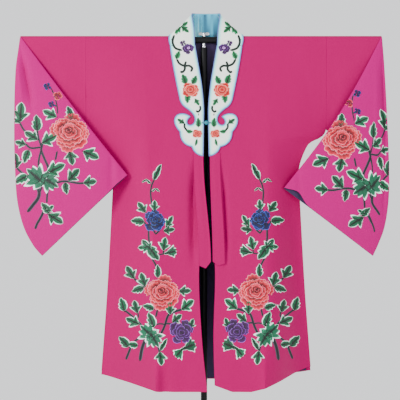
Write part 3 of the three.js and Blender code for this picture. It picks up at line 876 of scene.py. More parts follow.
# Distance across from the robe's centre, and drop, from the outer shoulder to the neck
COLLAR_TOP = 26.0
COLLAR_THICKNESS = 2.4
COLLAR_STAND = 14.4  # how far forward the back of its flat front is at the top
COLLAR_LEAN = 0.0929  # and how much further for each mm down
BAND_WIDTH = 74.0  # of the neck band
COLLAR_PATH = stretches((108, 26), [
    [(100, 90), (79, 186)],
    [(76, 208), (58, 219)],
    [(40, 232), (30, 244), (33, 258)],
    [(37, 273), (55, 274), (57, 262)],
    [(57, 252), (47, 245)],
    [(56, 236), (76, 232), (87, 241)],
    [(100, 254), (92, 274), (77, 290)],
    [(77, 312), (66, 330), (42, 334)],
    [(34, 358), (9, 362)],
    [(7, 230)],
    [(8, 186), (16, 132)],
    [(34, 26)],
])


def collar_forward(drop):
    """How far forward the back of the collar's flat front stands."""
    return COLLAR_STAND + (drop - COLLAR_TOP) * COLLAR_LEAN


def distance_to_path(places, path):
    """How far each place is from an open path."""
    best = np.full(len(places), 1e9)
    for a, b in zip(path, path[1:]):
        step = b - a
        t = clamp(((places - a) @ step) / (step @ step))
        best = np.minimum(best, np.hypot(*(places - a - t[:, None] * step).T))
    return best


def write_edge(piece, distance):
    """Keeps each vertex's distance from the edge, in mm, for the material to read."""
    layer = piece.data.attributes.new("edge", "FLOAT", "POINT")
    layer.data.foreach_set("value", distance.astype(np.float32))


def collar_plate(side):
    """The flat front: triangles inside the outline, with rings of points along its edge."""
    sign = SIDES[side]
    outline = COLLAR_PATH
    steps = np.roll(outline, -1, axis=0) - np.roll(outline, 1, axis=0)
    inward = np.column_stack([-steps[:, 1], steps[:, 0]]) / np.hypot(*steps.T)[:, None]
    closed = np.vstack([outline, outline[:1]])
    inner = []
    for reach in (0.8, 2, 3.6, 5.8, 8.4):
        for ring in (outline + inward * reach, outline - inward * reach):
            inner.append(ring[distance_to_path(ring, closed) > reach - 0.1])
    across, down = np.meshgrid(np.arange(9, 108, 6.0), np.arange(30, 362, 6.0))
    lattice = np.column_stack([across.ravel(), down.ravel()])
    inner.append(lattice[distance_to_path(lattice, closed) > 11])
    places = [Vector(p) for p in np.vstack([outline, *inner])]
    rim = list(range(len(outline)))
    made = delaunay_2d_cdt(places, [], [rim], 1, 1e-5)
    flat, faces = np.array([p[:] for p in made[0]]), made[2]
    distance = distance_to_path(flat, COLLAR_PATH)
    roll = 1.3 * np.exp(-distance / 1.2)
    forward = collar_forward(flat[:, 1]) + COLLAR_THICKNESS - roll
    placed = np.column_stack([GARMENT_X + sign * flat[:, 0], -forward, SHOULDER - flat[:, 1]]) * MM
    piece = mesh_piece(f"collar_{side}_satin", placed.tolist(), [], faces)
    write_edge(piece, distance)
    turn_outwards(piece, (0, -1, 0))
    return piece


# %% Neck band
# The seam on the robe and the free edge above it, from the shoulder round to the centre back.
# Columns: distance out, place behind the bar and height above the shoulder line, of the seam
# and then of the free edge
NECK_BAND = np.array([
    (108, -15.7, -30, 34, -15.7, -30), (111, -14.4, -12.1, 36, -15, 10), (110, -10.8, -1, 39, -12, 36),
    (108, 0, 2.5, 42, -3, 57), (103, 10.3, -1.8, 42, 11, 68), (88, 14.6, -14, 34, 22, 70),
    (50, 14.8, -24, 18, 25, 70), (0.15, 14.8, -24, 0.15, 26, 70),
], float)
band_curves = [smooth(list(zip(range(len(NECK_BAND)), column))) for column in NECK_BAND.T]


def band_points(sign, lift, shares, rows):
    """Points on the neck band. Lift moves them outwards, away from the neck."""
    k = rows[:, None] + 0 * shares[None, :]
    seam = np.stack([curve(k) for curve in band_curves[:3]], -1)
    free = np.stack([curve(k) for curve in band_curves[3:]], -1)
    middle = mix(seam, free, shares[None, :, None])
    along = np.gradient(middle, axis=0)
    outward = np.cross(along, free - seam)
    outward /= np.linalg.norm(outward, axis=-1, keepdims=True)
    outward[-1, :, 0] = 0
    middle = middle + outward * lift
    return np.stack([GARMENT_X + sign * middle[..., 0], middle[..., 1], SHOULDER + middle[..., 2]], -1)


BAND_ROWS = np.linspace(0.04, 7, 62)
BAND_SHARES = np.linspace(0, 1, 25)


def collar_half(side):
    sign = SIDES[side]
    band = grid_piece("band", band_points(sign, COLLAR_THICKNESS / 2, BAND_SHARES, BAND_ROWS))
    write_edge(band, np.tile(np.minimum(BAND_SHARES, 1 - BAND_SHARES) * BAND_WIDTH, len(BAND_ROWS)))
    if band.data.polygons[0].normal.y > 0:
        band.data.flip_normals()
    plate = collar_plate(side)
    join_into(plate, band)
    finish_cloth(plate, [white_satin], thickness=2.1)
    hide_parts(f"collar_{side}")
    return plate


def cord(name, points, radius, material):
    """A round cord along a row of points."""
    data = bpy.data.curves.new(name, "CURVE")
    data.dimensions = "3D"
    data.bevel_depth = radius * MM
    data.bevel_resolution = 3
    spline = data.splines.new("POLY")
    spline.points.add(len(points) - 1)
    for point, place in zip(spline.points, points):
        point.co = (*(place * MM), 1)
    make_active(link_piece(name, data))
    bpy.ops.object.convert(target="MESH")
    piece = bpy.context.object
    piece.data.materials.append(material)
    bpy.ops.object.shade_smooth()
    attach(piece, "root")
    return piece


CORD_RADIUS = 1.5
CORD_LIFT = 0.6  # of the cord on the neck band


def collar_cord(side):
    """The blue cord: up the seam of the band, down the outline and back along its free edge."""
    sign = SIDES[side]
    seam = band_points(sign, CORD_LIFT, np.array([0.0]), BAND_ROWS)[::-1, 0]
    free = band_points(sign, CORD_LIFT, np.array([1.0]), BAND_ROWS)[:, 0]
    x, drop = COLLAR_PATH.T
    forward = collar_forward(drop) + CORD_RADIUS
    flat = np.column_stack([GARMENT_X + sign * x, -forward, SHOULDER - drop])
    route = np.concatenate([seam, flat, free])
    return cord(f"collar_{side}_cord", route, CORD_RADIUS, blue_cord)


collars = {side: collar_half(side) for side in SIDES}
cords = {side: collar_cord(side) for side in SIDES}
print("collar halves", [len(c.data.vertices) for c in collars.values()],
      "cords", [len(c.data.vertices) for c in cords.values()])

# %% [markdown]
# ## The facing, the knot and the ties
#
# The inside of the neck band is faced with teal satin, which shows at the back of the neck.
# A turquoise knot closes the two clouds. Under them hang two ties of the robe's own silk, each
# a flat strip with a pointed foot.

# %% Facing
FACING_LIFT = -COLLAR_THICKNESS / 2 - 0.4
facing_shares = np.linspace(0.22, 0.985, 20)
facing_rows = np.linspace(3, 7, 34)
half = {side: band_points(sign, FACING_LIFT, facing_shares, facing_rows) for side, sign in SIDES.items()}
facing = grid_piece("collar_facing_satin", np.concatenate([half["right"], half["left"][-2::-1]]))
turn_outwards(facing, (0, -1, 0))
finish_cloth(facing, [teal_satin], thickness=1.0)
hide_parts("collar_facing")

# %% Knot
KNOT_DROP = 263.0
KNOT_RADIUS = 6.2
STRAND_RADIUS = 1.9
knot_forward = collar_forward(KNOT_DROP) + COLLAR_THICKNESS + 2.4
knot_place = Vector((GARMENT_X + 1, -knot_forward, SHOULDER - KNOT_DROP))
knot_net = Net("turquoise_cord")
strands = knot_net.noise(knot_net.object_place(), 700.0, 1.0)
knot_net.set(Base_Color=knot_net.mix(strands, colour(8, 84, 104), colour(20, 120, 136)), Roughness=0.45)
knot_net.bump(strands, 0.4 * MM, 0.7)

deselect_all()
bpy.ops.mesh.primitive_uv_sphere_add(segments=32, ring_count=16, radius=KNOT_RADIUS * MM,
                                     location=knot_place * MM)
knot = bpy.context.object
knot.name = "collar_knot_ball"
knot.scale = (1, 0.75, 1)
for turn in (-0.5, 0.5):
    deselect_all()
    bpy.ops.mesh.primitive_torus_add(major_radius=4.6 * MM, minor_radius=STRAND_RADIUS * MM,
                                     major_segments=40, minor_segments=12,
                                     location=knot_place * MM, rotation=(QUARTER_TURN, turn, 0))
    join_into(knot, bpy.context.object)
join_into(knot, cylinder(STRAND_RADIUS, 27, knot_place, sides=20, rotation=(0, QUARTER_TURN, 0)))
freeze(knot)
knot.data.materials.append(knot_net.material)
bpy.ops.object.shade_smooth()
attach(knot, "root")
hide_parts("collar_knot")

# %% Ties
TIE_TOP = 366.0
TIES = {
    "right": {"top": (8, 37), "foot": (-14, 20), "end": 676, "point": (-4, 16, 8)},
    "left": {"top": (11, 41), "foot": (19, 54), "end": 674, "point": (-2, 9, 4)},
}


def tie(side):
    """A strip that lies on the front, with a soft fold along it and a blunt point."""
    sign = SIDES[side]
    shape = TIES[side]
    row = np.linspace(TIE_TOP - 14, shape["end"], 60)[:, None]
    column = np.linspace(0, 1, 17)[None, :]
    share = clamp((row - TIE_TOP) / (shape["end"] - TIE_TOP))
    inner = mix(shape["top"][0], shape["foot"][0], ease(share))
    outer = mix(shape["top"][1], shape["foot"][1], ease(share))
    across = mix(inner, outer, column)
    drop = row + np.interp(column, (0, 0.45, 1), shape["point"]) * clamp(share * 12 - 11)
    depth = body_depth("front", HANG[side], sign * np.maximum(across, 12), drop)
    ripple = 1.1 * np.sin(np.pi * column) ** 2 * (0.6 + 0.4 * np.sin(5 * share + sign))
    lift = 2.2 + 1.2 * clamp((drop - TIE_TOP) / 30)
    hemmed_edge = 1.2 * np.exp(-((column - 0.05) / 0.06) ** 2)
    forward = depth + lift + ripple + hemmed_edge
    points = np.stack([GARMENT_X + sign * across, -forward + 0 * drop, SHOULDER - drop], -1)
    piece = grid_piece(f"tie_{side}_silk", points)
    turn_outwards(piece, (0, -1, 0))
    finish_cloth(piece, [pink_silk], thickness=1.2)
    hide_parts(f"tie_{side}")
    return piece


ties = {side: tie(side) for side in SIDES}
print("facing", len(facing.data.vertices), "ties", [len(t.data.vertices) for t in ties.values()])

# %% [markdown]
# ## The stand
#
# The stand is steel tube, painted black: a heavy round base with a socket, an upright post and
# a crossbar bolted on with a wing nut. Each piece starts as a primitive of the same size as in
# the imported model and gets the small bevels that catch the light.

# %% Stand materials
black_net = Net("black_paint")
wear = black_net.noise(black_net.object_place(), 24.0, 4.0)
black_net.set(Base_Color=black_net.mix(wear, colour(4, 4, 5), colour(12, 12, 14)),
              Roughness=wear * 0.18 + 0.42, Metallic=0.0, Specular_IOR_Level=0.16)
black_paint = black_net.material

chrome_net = Net("chrome")
smears = chrome_net.noise(chrome_net.object_place(), 160.0, 3.0)
chrome_net.set(Base_Color=chrome_net.mix(smears, (0.6, 0.6, 0.63, 1), (0.4, 0.4, 0.43, 1)),
               Roughness=smears * 0.2 + 0.1, Metallic=1.0)
chrome = chrome_net.material


def stand_piece(piece, name, material, bevel=0.8):
    """Names a stand piece, bevels its sharp edges and gives it its material."""
    piece.name = name
    piece.data.name = name
    freeze(piece)
    apply_modifier(piece, "BEVEL", width=bevel * MM, segments=3, limit_method="ANGLE",
                   angle_limit=math.radians(50))
    bpy.ops.object.shade_smooth_by_angle(angle=math.radians(35))
    piece.data.materials.clear()
    piece.data.materials.append(material)
    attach(piece, "root")
    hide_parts(name.replace("_steel", ""))
    return piece


# %% Base
BASE_RADIUS = 205.0
BASE_THICKNESS = 6.0
TUBE_RADIUS = 9.5
SOCKET_RADIUS = 17.0
SOCKET_TOP = 58.0
CONE_RADIUS = 26.0  # the foot of the cone under the socket
CONE_TOP = 22.0
HOLE_FLOOR = 8.0
STAND_GAP = 0.3  # between two pieces of the stand


def extrude(height):
    """Extrudes the selected faces up, or down where the height is below zero."""
    bpy.ops.mesh.extrude_region_move(TRANSFORM_OT_translate={"value": (0, 0, height * MM)})


base = cylinder(BASE_RADIUS, BASE_THICKNESS, (0, 0, BASE_THICKNESS / 2), sides=160)
freeze(base)
bpy.ops.object.mode_set(mode="EDIT")
bpy.ops.mesh.select_all(action="DESELECT")
work = bmesh.from_edit_mesh(base.data)
for face in work.faces:
    face.select_set(face.normal.z > 0.9)
bmesh.update_edit_mesh(base.data)
bpy.ops.mesh.inset(thickness=(BASE_RADIUS - CONE_RADIUS) * MM)
bpy.ops.mesh.inset(thickness=(CONE_RADIUS - SOCKET_RADIUS) * MM)
bpy.ops.transform.translate(value=(0, 0, (CONE_TOP - BASE_THICKNESS) * MM))
extrude(SOCKET_TOP - CONE_TOP)
bpy.ops.mesh.inset(thickness=(SOCKET_RADIUS - TUBE_RADIUS - STAND_GAP) * MM)
extrude(HOLE_FLOOR - SOCKET_TOP)
bpy.ops.object.mode_set(mode="OBJECT")
stand_piece(base, "stand_base_steel", black_paint, 1.2)

# %% Post and bar
BAR_HALF = 498.0
FERRULE_ROOM = 14.0  # from the post's head to the bar
bar_foot = BAR_HEIGHT - TUBE_RADIUS
post_foot = HOLE_FLOOR + STAND_GAP
post_head = bar_foot - FERRULE_ROOM

post = cylinder(TUBE_RADIUS, post_head - post_foot, (0, 0, (post_head + post_foot) / 2))
stand_piece(post, "stand_post_steel", black_paint)
bar = cylinder(TUBE_RADIUS, 2 * BAR_HALF, (0, 0, BAR_HEIGHT), rotation=(0, QUARTER_TURN, 0))
stand_piece(bar, "stand_bar_steel", black_paint)


# %% Ferrule and wing nut
def turned(name, profile):
    """A round part: a profile of (radius, height) spun about the post's axis."""
    piece = mesh_piece(name, [(r * MM, 0, z * MM) for r, z in profile],
                       [(i, i + 1) for i in range(len(profile) - 1)], [])
    make_active(piece)
    bpy.ops.object.mode_set(mode="EDIT")
    bpy.ops.mesh.select_all(action="SELECT")
    bpy.ops.mesh.spin(steps=48, angle=2 * math.pi, center=(0, 0, 0), axis=(0, 0, 1))
    bpy.ops.mesh.select_all(action="SELECT")
    bpy.ops.mesh.remove_doubles(threshold=0.00001)
    bpy.ops.mesh.normals_make_consistent(inside=False)
    bpy.ops.object.mode_set(mode="OBJECT")
    return piece


low = post_head + STAND_GAP
high = bar_foot - STAND_GAP
ferrule = turned("ferrule", [(0, low), (7, low), (7, low + 4), (5, low + 6), (5, high), (0, high)])
stand_piece(ferrule, "stand_ferrule_steel", chrome, 0.4)

low = BAR_HEIGHT + TUBE_RADIUS + STAND_GAP
nut = turned("nut", [(0, low), (5.5, low), (5.5, low + 5), (3.5, low + 7), (3.5, low + 12), (0, low + 12)])
for sign in (-1, 1):
    wing = cylinder(5.5, 2.4, (sign * 9.5, 0, low + 8.5), sides=40, rotation=(QUARTER_TURN, 0, 0))
    wing.scale = (1.25, 0.85, 1)
    join_into(nut, wing)
stand_piece(nut, "stand_wing_nut_steel", chrome, 0.5)
print("stand pieces made")

# %% [markdown]
# ## Embroidery
#
# The flowers are satin stitch: flat floats of untwisted silk laid side by side from a leaf's
# edge to its vein, or from a petal's rim to its root. Each motif is made once here as a small
# patch. Rings of points run from the outline in to the vein, and each ring has a height and a
# colour, which gives the white rim, the shaded green and the raised look of real stitches.

# %% Stitched patches
THREAD = 0.8  # mm between the stitches that can be told apart


def patch(outline, hearts, rings):
    """Rings of points between an outline and the heart that its stitches run to. Each ring
    has its share of the way in, its height in mm and its colour."""
    outline, hearts = np.array(outline, float), np.array(hearts, float)
    count = len(outline)
    steps = np.diff(np.vstack([outline, outline[:1]]), axis=0)
    along = np.concatenate([[0], np.cumsum(np.hypot(*steps.T))])[:-1]
    points, colours, threads = [], [], []
    for share, height, tint in rings:
        ring = mix(outline, hearts, share)
        points.append(np.column_stack([ring, np.full(count, height)]))
        colours.append(np.tile(tint, (count, 1)))
        threads.append(np.column_stack([along, np.full(count, share)]))
    i = np.arange(count)
    j = (i + 1) % count
    faces = [np.stack([r * count + i, r * count + j, (r + 1) * count + j, (r + 1) * count + i], -1)
             for r in range(len(rings) - 1)]
    return tuple(np.concatenate(part) for part in (points, colours, threads, faces))


def through(points, steps=6):
    """A smooth line through points."""
    points = np.array(points, float)
    ends = np.vstack([2 * points[0] - points[1], points, 2 * points[-1] - points[-2]])
    line = []
    for a, b, c, d in zip(ends, ends[1:], ends[2:], ends[3:]):
        for t in np.linspace(0, 1, steps, endpoint=False):
            line.append(0.5 * (2 * b + (c - a) * t + (2 * a - 5 * b + 4 * c - d) * t**2
                               + (3 * b - a - 3 * c + d) * t**3))
    return np.array(line + [points[-1]])


def stroke(points, width, tints, height=0.5, taper=0.25):
    """A raised line of stitches along points, with an edge colour and a middle colour."""
    line = through(points)
    direction = np.gradient(line, axis=0)
    direction /= np.linalg.norm(direction, axis=1, keepdims=True)
    normal = np.column_stack([-direction[:, 1], direction[:, 0]])
    share = np.linspace(0, 1, len(line))
    ends = np.sqrt(clamp(np.minimum(share, 1 - share) / taper * 0.85 + 0.15))[:, None]
    along = np.concatenate([[0], np.cumsum(np.hypot(*np.diff(line, axis=0).T))])
    rows = [(-0.5, 0.0, 0), (-0.42, 0.75, 0), (-0.22, 1.0, 1),
            (0.22, 1.0, 1), (0.42, 0.75, 0), (0.5, 0.0, 0)]
    places = [np.column_stack([line + normal * width * across * ends, np.full(len(line), height * up)])
              for across, up, _ in rows]
    colours = [np.tile(tints[k], (len(line), 1)) for _, _, k in rows]
    threads = [np.column_stack([along, np.full(len(line), across)]) for across, _, _ in rows]
    i = np.arange(len(line) - 1)
    n = len(line)
    faces = [np.stack([r * n + i, r * n + i + 1, (r + 1) * n + i + 1, (r + 1) * n + i], -1)
             for r in range(len(rows) - 1)]
    return tuple(np.concatenate(part) for part in (places, colours, threads, faces))


def joined(*patches):
    """Several patches as one."""
    faces, start = [], 0
    for made in patches:
        faces.append(made[3] + start)
        start += len(made[0])
    return (*(np.concatenate([p[k] for p in patches]) for k in range(3)), np.concatenate(faces))


def moved(made, origin, up, across=None, lift=0.0, shade=1.0):
    """A copy of a patch, with its own up direction and its sideways direction given."""
    up = np.array(up, float)
    across = np.array([up[1], -up[0]]) if across is None else np.array(across, float)
    points, colours, threads, faces = made
    flat = np.array(origin, float) + points[:, :1] * across + points[:, 1:2] * up
    tinted = colours * np.array([shade, shade, shade, 1])
    return (np.column_stack([flat, points[:, 2] + lift]), tinted,
            threads * [np.hypot(*up), 1], faces)


# %% Leaves
WHITE_THREAD = colour(252, 252, 252)
LIGHT_GREEN = colour(40, 196, 160)
GREEN = colour(0, 136, 104)
DARK_GREEN = colour(0, 100, 76)
VEIN_GREEN = colour(0, 32, 30)

# Half outlines from the base of a leaf to its tip, in leaf lengths: across, up
LEAF_SHAPES = {
    "trident": ([(0.02, 0), (0.15, 0.1), (0.27, 0.26), (0.5, 0.56), (0.21, 0.54), (0.25, 0.76), (0, 1)],
                [(0.02, 0), (0.14, 0.12), (0.22, 0.22), (0.46, 0.46), (0.2, 0.46), (0.22, 0.7), (0, 1)]),
    "oval": ([(0.02, 0), (0.2, 0.1), (0.35, 0.36), (0.24, 0.39), (0.31, 0.6), (0.17, 0.64), (0.18, 0.82),
              (0, 1)],
             [(0.02, 0), (0.24, 0.14), (0.34, 0.36), (0.3, 0.52), (0.27, 0.7), (0.13, 0.82), (0, 1)]),
    "blade": ([(0.02, 0), (0.11, 0.2), (0.14, 0.46), (0.09, 0.52), (0.1, 0.76), (0, 1)],
              [(0.02, 0), (0.09, 0.3), (0.08, 0.6), (0.04, 0.82), (0, 1)]),
    "fan": ([(0.02, 0), (0.13, 0.3), (0.36, 0.62), (0.5, 0.86), (0.28, 0.82), (0.22, 0.98), (0.1, 0.86),
             (0, 1)],
            [(0.02, 0), (0.13, 0.32), (0.33, 0.6), (0.45, 0.72), (0.27, 0.8), (0.2, 0.95), (0.1, 0.86),
             (0, 1)]),
    "maple": ([(0.03, 0), (0.26, -0.02), (0.5, 0.14), (0.36, 0.28), (0.66, 0.6), (0.34, 0.56), (0.32, 0.8),
               (0.14, 0.74), (0, 1)],
              [(0.03, 0), (0.24, 0.0), (0.44, 0.2), (0.34, 0.32), (0.58, 0.66), (0.3, 0.6), (0.28, 0.86),
               (0.12, 0.78), (0, 1)]),
}


def leaf(shape, rim, bright, middle, dark, vein):
    """A leaf of stitches that slant from its edge to its vein."""
    right, left = LEAF_SHAPES[shape]

    def edge(half, sign):
        line = []
        for (x0, y0), (x1, y1) in zip(half, half[1:]):
            for t in (0, 1 / 3, 2 / 3):
                bulge = 0.32 * t * (1 - t)
                across = mix(x0, x1, t) + bulge * (y1 - y0)
                line.append((sign * across, mix(y0, y1, t) + bulge * (x0 - x1)))
        return line

    outline = edge(right, 1) + [(0, 1)] + edge(left, -1)[::-1]
    hearts = [(0, min(0.9, max(0.05, y - 0.3 * abs(x)))) for x, y in outline]
    rings = [(0, 0, rim), (0.02, 0.4, rim), (0.17, 0.55, rim), (0.21, 0.55, bright), (0.36, 0.62, middle),
             (0.72, 0.6, middle), (0.88, 0.5, dark), (0.99, 0.42, vein)]
    made = patch(outline, hearts, rings)
    # The white stitches stop short of the leaf's stalk
    near_stalk = (made[0][:, 1] < 0.09) & (made[2][:, 1] < 0.16)
    made[1][near_stalk] = dark
    veins = [stroke([(0, -0.08), (0.015, 0.4), (0, 0.86)], 0.062, (vein, vein), 0.68, 0.2)]
    for k in (3, 1):
        for half, sign, ups in ((right, 1, (0.5, 0.8, 0.96)), (left, -1, (0.44, 0.76, 0.94))):
            x, y = half[k]
            points = [(sign * x * out, y * up) for out, up in zip((0, 0.4, 0.76), ups)]
            veins.append(stroke(points, 0.05, (vein, vein), 0.7))
    return joined(made, *veins)


rimmed_leaves = {s: leaf(s, WHITE_THREAD, LIGHT_GREEN, GREEN, DARK_GREEN, VEIN_GREEN) for s in LEAF_SHAPES}
rimmed_leaves["maple"] = leaf("maple", WHITE_THREAD, colour(24, 184, 150), colour(0, 140, 112),
                              colour(0, 100, 82), colour(0, 44, 42))
plain_leaves = {s: leaf(s, colour(110, 210, 170), colour(50, 176, 132), colour(14, 148, 104),
                        colour(0, 112, 76), colour(0, 60, 44)) for s in LEAF_SHAPES}
print("leaf patches", {name: len(made[0]) for name, made in rimmed_leaves.items()})


# %% Flowers
def shades(*stops):
    """Rings of a petal from stops of (share, height, screen colour)."""
    return [(share, height, colour(*tint)) for share, height, tint in stops]


PALE_PINK = shades((0, 0, (255, 206, 206)), (0.025, 0.25, (255, 196, 198)), (0.05, 0.34, (252, 106, 152)),
                   (0.1, 0.36, (236, 28, 114)), (0.22, 0.36, (204, 0, 88)), (0.42, 0.32, (146, 0, 66)),
                   (0.97, 0.2, (90, 0, 36)))
CORAL = shades((0, 0, (255, 182, 178)), (0.025, 0.25, (255, 168, 166)), (0.045, 0.34, (244, 82, 112)),
               (0.085, 0.36, (222, 12, 94)), (0.22, 0.36, (180, 0, 72)), (0.42, 0.32, (120, 0, 50)),
               (0.97, 0.2, (72, 0, 28)))
ROSE_RED = shades((0, 0, (255, 200, 186)), (0.04, 0.25, (254, 170, 156)), (0.1, 0.34, (238, 84, 84)),
                  (0.22, 0.36, (206, 24, 40)), (0.97, 0.2, (160, 4, 24)))
ROSE_PINK = shades((0, 0, (255, 214, 202)), (0.06, 0.25, (255, 190, 176)), (0.16, 0.34, (246, 104, 100)),
                   (0.4, 0.34, (220, 44, 56)), (0.97, 0.2, (186, 14, 34)))
NAVY = shades((0, 0, (150, 204, 250)), (0.02, 0.25, (120, 176, 246)), (0.04, 0.34, (34, 66, 190)),
              (0.06, 0.36, (4, 14, 144)), (0.3, 0.36, (0, 6, 108)), (0.97, 0.2, (0, 0, 54)))
VIOLET = shades((0, 0, (214, 180, 240)), (0.02, 0.25, (196, 156, 232)), (0.045, 0.34, (146, 64, 190)),
                (0.07, 0.36, (122, 0, 140)), (0.3, 0.36, (98, 0, 110)), (0.97, 0.2, (48, 0, 60)))
LILAC = shades((0, 0, (240, 210, 250)), (0.3, 0.3, (220, 170, 240)), (0.97, 0.3, (170, 90, 200)))


PETAL_WAVE = 0.11


def petal(half_angle, scallops, rings, lean):
    """A petal with its root at the origin and a scalloped rim one unit above it."""
    a = np.linspace(1, -1, 37)
    wave = abs(np.cos(scallops * np.pi * a / 2 + lean * 6)) - 0.6
    reach = 1 - 0.16 * a**2 + lean * a + PETAL_WAVE * wave
    rim = np.column_stack([reach * np.sin(a * half_angle), reach * np.cos(a * half_angle)])
    t = np.linspace(0, 1, 6)[1:-1, None]
    left = mix(rim[-1], (-0.03, 0.02), t) * [1.06, 1]
    right = mix((0.03, 0.02), rim[0], t) * [1.06, 1]
    outline = np.vstack([rim, left, right])
    return patch(outline, np.tile((0, 0.03), (len(outline), 1)), rings)


def flower(layers, seed, squash=0.92, centre=(0, 0)):
    """Layers of petals, the outer ones first, about a centre that moves off to one side. Each
    layer has its number of petals, how far their roots are from the centre, their length, half
    angle, rim waves, colours and turn."""
    pick = np.random.default_rng(seed)
    parts = []
    for level, (number, root, length, half_angle, scallops, rings, turn) in enumerate(layers):
        kinds = [petal(math.radians(half_angle), scallops + k, rings, 0.07 * (k - 1)) for k in range(3)]
        off = np.array(centre) * level / len(layers)
        for k in range(number):
            angle = turn + 2 * math.pi * (k + pick.uniform(-0.22, 0.22)) / number
            way = np.array([math.sin(angle), math.cos(angle)])
            size = length * pick.uniform(0.82, 1.14)
            kind = kinds[pick.integers(3)]
            sideways = np.array([way[1], -way[0] * squash]) * size * pick.uniform(0.9, 1.15)
            parts.append(moved(kind, off + way * root * [1, squash], way * size * [1, squash], sideways,
                               lift=0.34 * level + 0.1 * (k % 3), shade=pick.uniform(0.86, 1.08)))
    return joined(*parts)


# Lengths are shares of the flower's radius
peony = flower([
    (8, 0.34, 0.64, 42, 3, PALE_PINK, 0.1),
    (7, 0.24, 0.58, 44, 3, PALE_PINK, 0.5),
    (6, 0.14, 0.52, 48, 3, CORAL, 0.2),
    (5, 0.08, 0.44, 54, 3, PALE_PINK, 0.9),
    (4, 0.04, 0.34, 58, 2, PALE_PINK, 0.3),
    (3, 0.02, 0.22, 62, 2, CORAL, 0.9),
    (2, 0.0, 0.13, 66, 1, PALE_PINK, 0.5),
], seed=7, centre=(-0.06, 0.14))
blue_flower = flower([
    (5, 0.3, 0.76, 40, 1, NAVY, 0.2), (5, 0.16, 0.68, 42, 1, NAVY, 0.8), (4, 0.04, 0.52, 50, 1, NAVY, 0.1),
    (3, 0.02, 0.32, 60, 1, NAVY, 0.5), (3, 0.0, 0.18, 66, 1, NAVY, 0.2),
], seed=11, centre=(0.05, 0.2))
violet_flower = flower([
    (6, 0.26, 0.8, 34, 1, VIOLET, 0.3), (5, 0.14, 0.66, 44, 1, VIOLET, 0.8),
    (4, 0.04, 0.48, 50, 1, VIOLET, 0.2), (4, 0.0, 0.26, 56, 1, VIOLET, 0.4),
], seed=5, centre=(0.04, -0.1))
lilac_flower = flower([
    (7, 0.24, 0.8, 40, 1, VIOLET, 0.3), (6, 0.06, 0.6, 46, 1, VIOLET, 0.8),
    (4, 0.0, 0.26, 56, 1, LILAC, 0.4),
], seed=6, centre=(0.1, 0.2))
rose = flower([
    (8, 0.28, 0.74, 40, 2, ROSE_RED, 0.1), (6, 0.14, 0.66, 46, 2, ROSE_PINK, 0.6),
    (5, 0.04, 0.52, 54, 2, ROSE_RED, 0.2), (4, 0.0, 0.32, 60, 1, ROSE_PINK, 0.4),
    (2, 0.0, 0.18, 60, 1, ROSE_RED, 0.2),
], seed=3, squash=0.8)
blue_bud = flower([(4, 0.1, 0.9, 40, 1, NAVY, 0.4), (2, 0.0, 0.5, 44, 1, NAVY, 1.2)], seed=2)
violet_bud = flower([(4, 0.1, 0.9, 40, 1, VIOLET, 0.4), (2, 0.0, 0.5, 44, 1, VIOLET, 1.2)], seed=2)
coral_bud = flower([(4, 0.1, 0.9, 42, 2, PALE_PINK, 0.2), (2, 0.0, 0.5, 44, 1, CORAL, 1.0)], seed=4)
print("flower patches", len(peony[0]), len(blue_flower[0]), len(rose[0]))

# %% [markdown]
# ## Where the flowers grow
#
# The places are read from the picture, in pixels of its 400 pixel frame, for the side on the
# viewer's left. A leaf is given by its base and its tip, a flower by its middle and radius, a
# stem by the points it passes. The other side is the same spray turned over, because the
# embroiderer used one pattern for both.

# %% The spray on each front
FRONT_LEAVES = [
    ("blade", (153.9, 180.3), (161.5, 164.2), 1.5), ("blade", (150.9, 183.5), (145.6, 178.8), 1.6),
    ("blade", (146.6, 179.4), (141.6, 182.4), 1.6), ("blade", (151.9, 191.8), (156, 188.2), 1.6),
    ("blade", (155.2, 188.4), (159.6, 191.8), 1.6),
    ("trident", (145.8, 212.4), (138.2, 202)), ("trident", (154.6, 211), (154.9, 200)),
    ("oval", (144.4, 222), (130.8, 220.4)), ("trident", (166.4, 228), (172.8, 215.8), 0.8),
    ("trident", (163.6, 231), (175, 229.2)), ("trident", (150, 247), (138, 247.6)),
    ("trident", (151, 250), (142.4, 239.6)), ("oval", (148.6, 246.6), (158.8, 260.4)),
    ("trident", (163.5, 250.6), (165.6, 237)), ("fan", (163.6, 253.8), (177, 251)),
    ("oval", (157.8, 277.4), (157.8, 264.4), 0.85), ("trident", (134.4, 278.6), (126.6, 265.8)),
    ("trident", (145.4, 286.4), (141.2, 272.4)), ("oval", (143.8, 287.8), (131.6, 291.4)),
    ("trident", (178.8, 291.4), (191.4, 290.8)), ("oval", (124.4, 311), (121, 297.4)),
    ("trident", (137.6, 313), (134.4, 300)), ("oval", (154, 309), (142.8, 305.2)),
    ("trident", (170.2, 314.6), (170.4, 300.8)), ("trident", (181.6, 309.8), (194, 300)),
    ("trident", (139.4, 324), (125.8, 318)), ("oval", (153.8, 327.4), (148.6, 312.2), 0.9),
    ("trident", (172.4, 322.4), (182, 314.6)), ("trident", (190, 328.4), (193.6, 318.6)),
    ("maple", (153.4, 337.6), (140.2, 325)), ("maple", (150, 332), (159, 347.4)),
    ("oval", (128.6, 346.8), (119.2, 336.4)), ("oval", (138, 345.6), (127.2, 344)),
    ("blade", (160.2, 350.6), (167.2, 338.6), 1.6), ("trident", (159.6, 351.6), (161.4, 365.8)),
    ("fan", (183.8, 347.4), (175.2, 357.2), 1.1), ("fan", (181.6, 349.6), (196, 343.6), 1.1),
]
